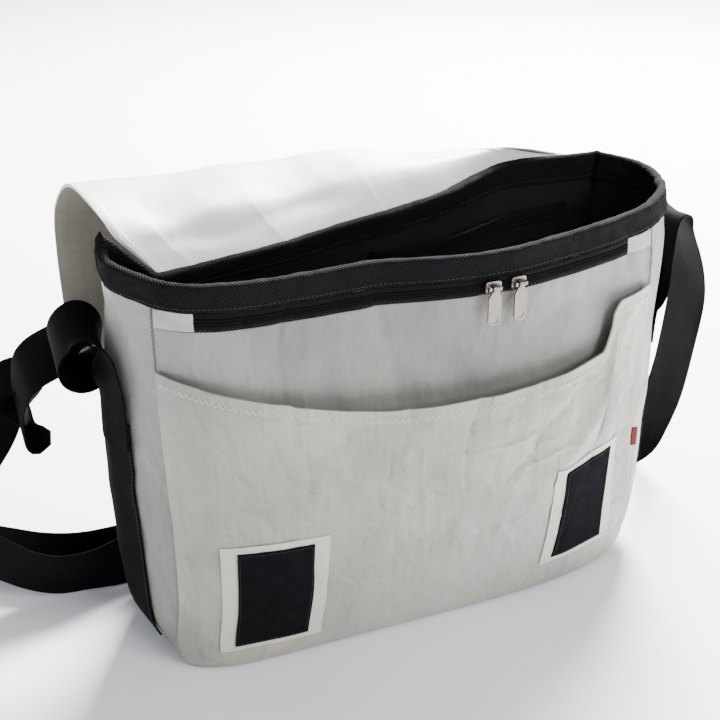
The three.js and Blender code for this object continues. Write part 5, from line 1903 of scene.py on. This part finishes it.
# ------------------------------------------------------------------ flap
@dataclass
class Flap:
    """The flap thrown back: up from the rim over a ridge and down behind the bag.

    Attributes:
        form: The bag's form.
        width: Width of the flap.
        wall: Its thickness.
        ridge_height: Height of its ridge above the rim.
        ridge_depth: Y of its ridge.
        hang: Length that hangs behind.
        hang_depth: How far the hanging part stands behind the ridge.
        root: Offset of its sewn edge.
        seam: Distance of its seam below the rim.
        flat: Width and length of its cut, in metres; not used.
        path: How it goes from the rim to the ridge and down, row by row.
        dents: Where across and along, spread across and along, and depth of each dent.
        presses: Where across and along, spread across and along, and depth in millimetres.
    """

    form: BagForm
    width: float = 432.0
    wall: float = 1.8
    ridge_height: float = 31.0
    ridge_depth: float = 68.0
    hang: float = 148.0
    hang_depth: float = 24.0
    root: float = 3.7
    seam: float = 16.0
    flat: tuple[float, float] = (0.442, 0.233)
    path: Array = field(default_factory=lambda: np.array([
        # along, back, rise, behind, hang, spread
        [0.00, 0.00, 0.00, 0.00, 0.00, 0.00],
        [0.06, 0.08, 0.36, 0.00, 0.00, 0.35],
        [0.12, 0.17, 0.62, 0.00, 0.00, 0.62],
        [0.20, 0.34, 0.83, 0.00, 0.00, 0.76],
        [0.29, 0.64, 0.95, 0.00, 0.00, 0.88],
        [0.38, 1.00, 1.00, 0.00, 0.00, 1.00],
        [0.45, 1.00, 1.00, 0.40, 0.04, 1.14],
        [0.53, 1.00, 1.00, 0.78, 0.16, 1.26],
        [0.66, 1.00, 1.00, 0.96, 0.38, 1.28],
        [0.82, 1.00, 1.00, 1.00, 0.68, 1.24],
        [1.00, 1.00, 1.00, 1.00, 1.00, 1.20],
    ]))
    dents: Sequence[tuple[float, ...]] = (
        (0.10, 0.20, 0.06, 0.09, 0.24),
        (0.32, 0.22, 0.12, 0.09, 0.16),
        (0.50, 0.30, 0.08, 0.08, -0.10),
        (0.66, 0.34, 0.09, 0.10, 0.12),
        (0.86, 0.70, 0.08, 0.30, 0.25),
        (0.40, 0.75, 0.07, 0.30, -0.20),
    )
    presses: Sequence[tuple[float, ...]] = (
        (66, 40, 34, 14, 6.5),
        (158, 40, 40, 13, 5.0),
        (250, 62, 34, 14, 2.5),
    )

    def grid(self) -> Array:
        """Middle of the flap's cloth, row by row from its sewn edge to its free one.

        Each point goes from the rim to the ridge by the path's shares, and from the ridge
        back and down; dents press it down before the ridge and forward behind it.

        Returns:
            Points in millimetres.
        """
        u = spread(0, 1, 200)[None, :]
        along = spread(0, 1, 120)[:, None]
        column = LEFT_BACK - BACK_COLUMNS * u
        step = table_at(self.path, along[:, 0])[:, None, :]
        back, rise, behind, hang, reach = (step[..., k] for k in range(5))
        rim = self.form.at(column, np.ones_like(column), self.root)
        level = 1 - 0.35 * smooth((u - 0.5) / 0.3) - 0.55 * smooth((u - 0.8) / 0.2)
        ridge_z = self.form.rim_height + self.ridge_height * level
        ridge_y = self.ridge_depth * (1 - 0.12 * smooth((u - 0.7) / 0.3))
        dent = np.zeros((120, 200))
        for across, place, span_u, span_v, depth in self.dents:
            dent += depth * self.ridge_height * hump(u, across, span_u) * hump(along, place, span_v)
        hanging = smooth((along - 0.38) / 0.2)
        x = mix(rim[..., 0], (u - 0.5) * self.width, reach)
        y = mix(rim[..., 1], ridge_y, back) + behind * self.hang_depth - dent * hanging * (1 - hang)
        z = mix(rim[..., 2] + 0.5, ridge_z, rise) - hang * self.hang - dent * (1 - hanging) * rise
        upper = np.stack([x, y, z], -1)
        root = self.form.at(column, np.full_like(column, self.form.level_of(self.seam)), self.root)
        share = spread(0, 1, 12)[:-1, None, None]
        return np.concatenate([mix(root, upper[:1], share), upper])

    def build(self) -> None:
        """Makes the flap, white on its inner side, and the stitches along its hem."""
        grid = self.grid()
        flat = flat_map(grid) / MM
        u, v = flat[..., 0], flat[..., 1]
        normal = sheet_normal(grid)
        away = grid - np.array([0, 0, self.form.rim_height / 2])
        if (normal * away).sum() < 0:
            normal = -normal
        free = smooth((v - 14) / 30)
        waves = ripple(u, v, 95, 101, 1.2) * 1.3 + ripple(u, v, 38, 102) * 0.2
        press = np.zeros_like(u)
        for across, along, span_u, span_v, depth in self.presses:
            press -= depth * hump(u, across, span_u) * hump(v, along, span_v)
        grid = grid + normal * ((waves + press) * free)[..., None]
        rim = np.minimum(np.minimum(u, u[:, -1:] - u), v[-1:] - v)
        hem = 0.35 * smooth((9 - rim) / 1.0)
        face = grid + normal * (self.wall / 2 + hem)[..., None]
        back = grid - normal * (self.wall / 2 + hem)[..., None]
        mesh = slab(face, back, flat=flat_map(grid))
        piece = Piece("flap_cloth", ["flap"], Finish.FLAP, extra=[FLAP_BACK.made()]).dress(mesh)
        LOG.info("the flap unrolls to %.0f by %.0f mm", u[0, -1], v[-1].mean())
        first, last, low = np.s_[14:, 4], np.s_[14:, -5], np.s_[-4]
        for k, row in enumerate((first, last, low)):
            path, out = face[row], normal[row]
            mesh = stitch_row(path, out, 3.4, 0.24)
            sewn(f"flap_stitches_{k}", Finish.FLAP, mesh, PALE_THREAD)


# ------------------------------------------------------------------ webbing
def spline(places: Array, parts: int) -> Array:
    """Smooth curve through places: Catmull-Rom with knots by the root of the distance.

    Args:
        places: Rows of numbers, the first three a point.
        parts: New rows for each stretch.

    Returns:
        Rows along the curve.
    """
    first = 2 * places[0] - places[1]
    last = 2 * places[-1] - places[-2]
    p = np.concatenate([first[None], places, last[None]])
    knot = np.maximum(np.linalg.norm(np.diff(p[:, :3], axis=0), axis=1) ** 0.5, 1e-4)[:, None]
    t = spread(0, 1, parts + 1)[:-1][None, :, None]
    a, b, c, d = p[:-3, None], p[1:-2, None], p[2:-1, None], p[3:, None]
    k0, k1, k2 = knot[:-2, None], knot[1:-1, None], knot[2:, None]
    slope_b = ((b - a) / k0 - (c - a) / (k0 + k1) + (c - b) / k1) * k1
    slope_c = ((c - b) / k1 - (d - b) / (k1 + k2) + (d - c) / k2) * k1
    curve = hermite(t, b, slope_b, c, slope_c)
    return np.concatenate([curve.reshape(-1, places.shape[1]), places[-1:]])


def eased(rows: Array, reach: float, step: float) -> Array:
    """Rows along a path, each the bell-weighted mean of those near it, ends kept.

    Args:
        rows: Rows at even steps.
        reach: Spread of the bell, in millimetres.
        step: Distance between rows.

    Returns:
        The eased rows.
    """
    half = int(3 * reach / step)
    weight = np.exp(-((np.arange(-half, half + 1) * step / reach) ** 2) / 2)
    weight /= weight.sum()
    before = 2 * rows[:1] - rows[half:0:-1]
    after = 2 * rows[-1:] - rows[-2 : -half - 2 : -1]
    padded = np.concatenate([before, rows, after])
    return np.stack([np.convolve(padded[:, k], weight, "valid") for k in range(rows.shape[1])], 1)


@dataclass
class Webbing:
    """The shoulder belt and the bands up the gussets.

    Attributes:
        form: The bag's form.
        width: Width of the webbing.
        wall: Its thickness.
        buckle: Middle of the buckle.
        stand: Gap between a band and its gusset.
        aside: Distance of a band's middle from its ridge, along the ring.
        right: The right belt's route in half widths, half depths and rim heights, each with
            the direction of the webbing's width.
        left: The left belt's route.
        tail: The free end's route, beyond the buckle.
    """

    form: BagForm
    width: float = 48.0
    wall: float = 1.4
    buckle: tuple[float, float, float] = (-118.0, 78.0, 28.3)
    stand: float = 1.4
    aside: float = 7.0
    right: Sequence[tuple[float, ...]] = (
        (1.236, 0.00, 0.700, 0, 1, 0), (1.240, 0.00, 0.790, 0, 1, 0),
        (1.250, 0.01, 0.870, 0, 1, 0), (1.278, 0.04, 0.915, 0.1, 1, 0),
        (1.330, 0.08, 0.913, 0.15, 1, 0), (1.392, 0.14, 0.850, 0.15, 1, 0),
        (1.470, 0.27, 0.752, 0.1, 1, 0), (1.520, 0.44, 0.655, 0, 1, 0),
        (1.568, 0.76, 0.482, 0, 1, 0), (1.600, 1.06, 0.322, 0, 1, 0),
        (1.602, 1.32, 0.186, 0, 1, 0), (1.568, 1.56, 0.070, 0, 1, 0),
        (1.480, 1.72, 0.017, 0, 1, 0), (1.300, 1.80, 0.006, 0, 1, 0),
        (0.800, 1.82, 0.006, 0, 1, 0), (0.350, 1.78, 0.007, 0, 1, 0.02),
        (0.100, 1.72, 0.030, 0, 1, 0.25), (-0.130, 1.58, 0.068, 0, 0.75, 0.75),
        (-0.350, 1.48, 0.090, 0, 0.1, 1),
    )
    left: Sequence[tuple[float, ...]] = (
        (-1.145, -0.13, 0.628, -0.3, 0.95, 0.1), (-1.144, -0.11, 0.686, -0.3, 0.95, 0.1),
        (-1.141, -0.07, 0.737, -0.15, 0.97, 0.15), (-1.139, 0.04, 0.785, 0.05, 0.95, 0.3),
        (-1.158, 0.13, 0.824, 0.05, 0.95, 0.3), (-1.211, 0.22, 0.840, 0.05, 0.95, 0.3),
        (-1.263, 0.31, 0.821, 0.05, 0.95, 0.3), (-1.300, 0.40, 0.779, 0.05, 0.95, 0.3),
        (-1.289, 0.51, 0.731, 0.05, 0.95, 0.3), (-1.247, 0.62, 0.699, 0.05, 0.95, 0.3),
        (-1.189, 0.73, 0.686, 0.05, 0.95, 0.3), (-1.142, 0.84, 0.699, 0.05, 0.95, 0.3),
        (-1.126, 0.91, 0.724, 0.05, 0.95, 0.3), (-1.153, 0.96, 0.740, 0.05, 0.95, 0.3),
        (-1.211, 1.02, 0.731, 0, 0.92, 0.4), (-1.279, 1.07, 0.708, 0, 0.88, 0.47),
        (-1.347, 1.13, 0.686, 0, 0.88, 0.47), (-1.395, 1.18, 0.654, 0, 0.88, 0.47),
        (-1.416, 1.24, 0.609, 0, 0.88, 0.47), (-1.421, 1.31, 0.558, 0, 0.92, 0.4),
        (-1.419, 1.36, 0.512, 0.05, 0.95, 0.3), (-1.408, 1.40, 0.480, 0.05, 0.95, 0.3),
        (-1.391, 1.44, 0.478, 0.05, 0.95, 0.3), (-1.381, 1.51, 0.510, 0.05, 0.95, 0.3),
        (-1.378, 1.65, 0.548, 0.05, 0.95, 0.3), (-1.396, 1.80, 0.574, 0, 0.8, 0.6),
        (-1.437, 1.89, 0.561, 0, 0.65, 0.76), (-1.484, 1.89, 0.519, 0, 0.6, 0.8),
        (-1.542, 1.80, 0.471, 0, 0.55, 0.84), (-1.632, 1.65, 0.410, 0, 0.4, 0.9),
        (-1.705, 1.49, 0.337, 0, 0.2, 1), (-1.705, 1.36, 0.253, 0, 0, 1),
        (-1.642, 1.25, 0.189, 0, -0.2, 1), (-1.553, 1.18, 0.147, 0, -0.3, 0.95),
        (-1.453, 1.11, 0.109, 0, -0.34, 0.94), (-1.342, 1.07, 0.085, 0, -0.34, 0.94),
        (-1.211, 1.09, 0.079, 0, -0.3, 0.95), (-1.084, 1.15, 0.079, 0, -0.1, 1),
        (-0.968, 1.24, 0.082, 0, 0, 1),
    )
    tail: Sequence[tuple[float, ...]] = (
        (-0.958, 1.45, 0.083, 0, 0, 1), (-1.079, 1.44, 0.080, 0, 0, 1),
        (-1.232, 1.47, 0.079, 0, 0, 1), (-1.368, 1.65, 0.079, 0, 0, 1),
        (-1.479, 1.93, 0.079, 0, 0, 1), (-1.600, 2.25, 0.079, 0, 0, 1),
        (-1.721, 2.56, 0.079, 0, 0, 1),
    )

    def route(self, table: Sequence[tuple[float, ...]]) -> Array:
        """A route in millimetres, with the unit direction of the webbing's width.

        Args:
            table: The route's rows.

        Returns:
            The places.
        """
        rows = np.array(table, float)
        rows[:, :3] *= (self.form.half_width, self.form.half_depth, self.form.rim_height)
        rows[:, 3:] = unit(rows[:, 3:])
        return rows

    @property
    def laid(self) -> float:
        """Offset of the belt's middle where it is sewn over the band."""
        return self.stand + 1.5 * self.wall + 0.3

    def start(self, ridge: float, h: Array) -> Array:
        """Start of the belt, flat on the band at some heights.

        Args:
            ridge: Column of the gusset's ridge.
            h: Height shares.

        Returns:
            Places with the width's direction along the ring.
        """
        c = self.form.walk(h, ridge, self.aside + np.array([-1.0, 0.0, 1.0]))
        middle = self.form.at(c[:, 1], h, self.laid)
        across = self.form.place(c[:, 2], h) - self.form.place(c[:, 0], h)
        if ridge > RIGHT_BACK:
            across = -across
        return np.concatenate([middle, unit(across)], 1)

    def weave(self) -> tuple[Array, Array]:
        """Where the two belt ends pass the buckle: one over its middle bar, one round its end.

        Returns:
            Places of the right and of the left belt.
        """
        bar, slot, thick = 4.0, 12.0, 2.4
        layer = (thick + self.wall) / 2 + 0.5
        tail = 2 * layer
        edge = bar / 2 + 0.5
        pitch = bar + slot
        fold = -pitch + bar / 2 + self.wall
        right = [(pitch + 14, layer), (pitch, layer), (pitch - edge, layer), (pitch / 2, 0),
                 (edge, -layer), (-edge, -layer), (-0.45 * pitch, 0.2 * layer),
                 (-0.6 * pitch, 0.7 * tail), (-pitch + edge, tail), (-pitch - 16, tail)]
        left = [(-pitch - 14, -layer), (-pitch, -layer), (fold - 1.2, -layer),
                (fold, -0.55 * layer), (fold, 0.55 * layer), (fold - 1.2, layer),
                (-pitch, layer), (-pitch - 14, layer)]
        x, y, z = self.buckle
        return tuple(
            np.array([(x + a, y + b, z, 0, 0, 1) for a, b in way]) for way in (right, left)
        )

    def wrapped(self, middle: Array, path: Array, ridge: float, s: Array) -> Array:
        """Webbing's stations, those at its start laid round the gusset as the band is.

        Args:
            middle: Stations of points across the flat webbing.
            path: Its middle line, one point for each station.
            ridge: Column of the gusset's ridge.
            s: Shares of the half width across the webbing.

        Returns:
            The stations, blended from wrapped to flat over the first 60 mm.
        """
        count = 28
        share = 1 - smooth((lengths(path)[:count] - 14) / 44)
        h = np.clip(path[:count, 2] / self.form.rim_height, 0, 0.95)
        sign = -1 if ridge > RIGHT_BACK else 1
        c = self.form.walk(h, ridge, sign * s * self.width / 2 + self.aside)
        h2 = np.broadcast_to(h[:, None], c.shape)
        laid = self.form.at(c, h2, self.laid)
        blended = middle.copy()
        blended[:count] = mix(middle[:count], laid, share[:, None, None])
        return blended

    def ribbon(
        self, name: str, node: str, places: Array, calm: tuple[float, float], seed: int,
        ridge: float,
    ) -> None:
        """Webbing carried along a route: a flat profile with round edges on each station.

        Args:
            name: Object's name.
            node: Frame node that it stands for.
            places: Route with the width's direction.
            calm: Lengths at the start and end that keep their exact route.
            seed: Seed of its unevenness.
            ridge: Column of the gusset's ridge where it is sewn.
        """
        step = 2.2
        curve = spline(places, 14)
        path, across = resampled(curve[:, :3], step, curve[:, 3:])
        rows = np.concatenate([path, across], 1)
        soft = eased(rows, 5.0, step)
        at = np.arange(len(rows)) * step
        share = smooth((at - calm[0]) / 25) * smooth((at[-1] - calm[1] - at) / 25)
        rows = mix(rows, soft, share[:, None])
        path, across = rows[:, :3], rows[:, 3:]
        tangent = unit(np.gradient(path, axis=0))
        across = unit(across - (across * tangent).sum(1, keepdims=True) * tangent)
        normal = np.cross(tangent, across)
        half, thick = self.width / 2, self.wall / 2
        s = np.array([-1.0, -0.985, -0.9, -0.7, -0.45, -0.2, 0.0, 0.2, 0.45, 0.7, 0.9, 0.985, 1.0])
        body = np.where(np.abs(s) > 0.99, 0.35, np.where(np.abs(s) > 0.95, 0.85, 1.0))
        sway = ripple(at[:, None], s[None] * 40, 70, seed) * 0.35
        middle = path[:, None] + across[:, None] * (s * half)[:, None]
        middle = middle + normal[:, None] * (sway * share[:, None])[..., None]
        middle = self.wrapped(middle, path, ridge, s)
        top = middle + normal[:, None] * (body * thick)[:, None]
        low = middle - normal[:, None] * (body * thick)[:, None]
        v = (s * half * MM)[None, :]
        u = (at * MM)[:, None]
        flat = np.stack(np.broadcast_arrays(u, v), -1)
        Piece(name, [node], Finish.WEBBING).dress(slab(top, low, flat=flat))
        LOG.info("%s is %.0f mm long", name, at[-1])

    def band(self, side: str, ridge: float) -> None:
        """A band sewn up the gusset over its ridge, with a stitched edge each side.

        Args:
            side: left or right.
            ridge: Column of the gusset's ridge.
        """
        h = spread(0.035, 0.62, 90)
        reach = np.array([-24.0, -23.4, -21, -14, -7, 0, 7, 14, 21, 23.4, 24.0]) + self.aside
        c = self.form.walk(h, ridge, reach)
        h2 = np.broadcast_to(h[:, None], c.shape)
        along = h2 * self.form.rim_height
        lift = 0.3 * ripple(c * 10, along, 40, 111)
        body = np.array([0.4, 0.9, 1, 1, 1, 1, 1, 1, 1, 0.9, 0.4]) * self.wall
        face = self.form.at(c, h2, self.stand + body + lift)
        back = self.form.at(c, h2, self.stand)
        flat = np.stack([along * MM, np.broadcast_to(reach * MM, c.shape)], -1)
        piece = Piece(f"side_band_{side}_webbing", [f"side_band_{side}"], Finish.WEBBING)
        piece.dress(slab(face, back, flat=flat))
        for k, column in enumerate((1, -2)):
            path = self.form.at(c[:, column], h, 1.5 + self.wall)
            mesh = stitch_row(path, self.form.outward(c[:, column], h), 3.4, 0.3)
            sewn(f"side_band_{side}_stitches_{k}", Finish.WEBBING, mesh, BLACK_THREAD)

    def build(self) -> None:
        """Makes both bands and both ends of the belt."""
        self.band("left", LEFT_RIDGE)
        self.band("right", RIGHT_RIDGE)
        right, left = self.weave()
        start = self.start(RIGHT_RIDGE, spread(0.56, 0.66, 5))
        whole = np.concatenate([start, self.route(self.right), right, self.route(self.tail)])
        self.ribbon("belt_right_webbing", "shoulder_belt_right", whole, (30, 230), 121, RIGHT_RIDGE)
        start = self.start(LEFT_RIDGE, spread(0.54, 0.60, 4))
        whole = np.concatenate([start, self.route(self.left), left])
        self.ribbon("belt_left_webbing", "shoulder_belt_left", whole, (20, 120), 122, LEFT_RIDGE)


# ------------------------------------------------------------------ hard pieces
@dataclass
class Hardware:
    """Cast and moulded pieces that keep their frame shape, with their edges rounded.

    Attributes:
        nodes: The frame's objects by name.
    """

    nodes: dict[str, bpy.types.Object]

    def rounded(
        self, node: str, finish: Finish, body: str, bevel: float, name: str
    ) -> bpy.types.Object:
        """A copy of a node's mesh, its triangles merged and its edges rounded.

        Args:
            node: The node.
            finish: Its finish.
            body: The body it rides on.
            bevel: Rounding, in metres.
            name: Object's name.

        Returns:
            The object.
        """
        mesh = self.nodes[node].data.copy()
        work = bmesh.new()
        work.from_mesh(mesh)
        bmesh.ops.remove_doubles(work, verts=work.verts, dist=1e-6)
        bmesh.ops.dissolve_limit(work, angle_limit=0.03, verts=work.verts, edges=work.edges)
        work.to_mesh(mesh)
        work.free()
        return Piece(name, [node], finish, body, bevel, 32).dress(mesh)

    def build(self) -> None:
        """Makes the sliders, the pull tabs, the buckle and the tag."""
        metal = Finish.NICKEL
        for side in ("left", "right"):
            self.rounded(f"slider_{side}", metal, "bag", 0.00045, f"zip_slider_{side}")
            self.rounded(f"pull_tab_{side}", metal, f"pull_{side}", 0.0003, f"zip_pull_{side}")
        self.rounded("belt_buckle", Finish.PLASTIC, "bag", 0.0006, "belt_slide_buckle")
        self.rounded("side_tag", Finish.TAG, "bag", 0.0002, "side_seam_tag")


# ------------------------------------------------------------------ stage
@dataclass
class Studio:
    """Pale floor, soft light and the camera.

    Attributes:
        eye: Camera's place in metres.
        target: Point it looks at.
        lens: Focal length.
        sensor: Width of the sensor.
        floor_reach: Distance from the middle to the floor's edges.
        floor_drop: Depth of the floor below the bag.
        sky: Colour of the sky.
        sky_strength: Its strength.
        lamps: Name, place, size, power and colour of each light.
    """

    eye: tuple[float, float, float] = (-0.3695, -0.8600, 0.6534)
    target: tuple[float, float, float] = (-0.022, 0.0, 0.201)
    lens: float = 67.85
    sensor: float = 36.0
    floor_reach: float = 9.0
    floor_drop: float = 0.0005
    sky: tuple[float, float, float] = (0.92, 0.95, 1.0)
    sky_strength: float = 0.8
    lamps: Sequence[tuple] = (
        ("window", (1.2, 1.5, 1.7), 1.3, 640.0, (1.0, 0.99, 0.97)),
        ("front", (1.0, -2.1, 1.5), 1.4, 60.0, (1.0, 1.0, 1.0)),
    )

    def floor(self) -> None:
        """A wide plain floor."""
        line = spread(-self.floor_reach, self.floor_reach, 3)
        grid = np.stack(np.meshgrid(line, line), -1).reshape(-1, 2)
        points = np.concatenate([grid, np.full((9, 1), -self.floor_drop)], 1)
        face = cells(np.arange(9).reshape(3, 3)[..., None])[..., 0]
        mesh = bpy.data.meshes.new("floor")
        mesh.from_pydata(points.tolist(), [], face.tolist())
        paint = Paint("pale floor")
        cloud = paint.noise(paint.object_place(), 1.5, 2.0, 0.5)
        tone = paint.blend(cloud, rgba(WHITE_FLOOR), rgba(tuple(c * 0.97 for c in WHITE_FLOOR)))
        paint.feed(paint.shader.inputs["Base Color"], tone)
        paint.shader.inputs["Roughness"].default_value = 0.75
        mesh.materials.append(paint.material)
        floor = bpy.data.objects.new("floor", mesh)
        bpy.context.scene.collection.objects.link(floor)

    def lamp(
        self, name: str, place: Sequence[float], size: float, power: float,
        colour: Sequence[float],
    ) -> None:
        """A square soft light that faces the bag.

        Args:
            name: Its name.
            place: Where it hangs, in metres.
            size: Its side.
            power: Its power in watts.
            colour: Its colour.
        """
        light = bpy.data.lights.new(name, "AREA")
        light.shape = "SQUARE"
        light.size = size
        light.energy = power
        light.color = colour
        lamp = bpy.data.objects.new(name, light)
        bpy.context.scene.collection.objects.link(lamp)
        lamp.location = place
        aim = Vector((0.0, 0.0, 0.15)) - Vector(place)
        lamp.rotation_euler = aim.to_track_quat("-Z", "Y").to_euler()

    def build(self) -> None:
        """Makes the floor, the sky, the lights and the camera."""
        self.floor()
        world = bpy.data.worlds.new("sky")
        world.use_nodes = True
        back = world.node_tree.nodes["Background"]
        back.inputs["Color"].default_value = rgba(self.sky)
        back.inputs["Strength"].default_value = self.sky_strength
        bpy.context.scene.world = world
        for lamp in self.lamps:
            self.lamp(*lamp)
        data = bpy.data.cameras.new("camera")
        data.lens = self.lens
        data.sensor_width = self.sensor
        data.clip_end = 60.0
        camera = bpy.data.objects.new("camera", data)
        bpy.context.scene.collection.objects.link(camera)
        camera.location = self.eye
        way = Vector(self.target) - Vector(self.eye)
        camera.rotation_euler = way.to_track_quat("-Z", "Y").to_euler()
        bpy.context.scene.camera = camera


def main() -> None:
    """Builds the bag around its frame, piece by piece."""
    logging.basicConfig(level=logging.INFO, format="%(name)s: %(message)s")
    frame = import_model()
    form = BagForm()
    Studio().build()
    makers: Sequence[Callable[[], None]] = (
        BodyShell(form).build,
        Lining(form).build,
        RimBinding(form).build,
        Zip(form).build,
        FrontPocket(form).build,
        Flap(form).build,
        Webbing(form).build,
        Hardware(frame["nodes"]).build,
    )
    for make in makers:
        make()


if __name__ == "__main__":
    main()
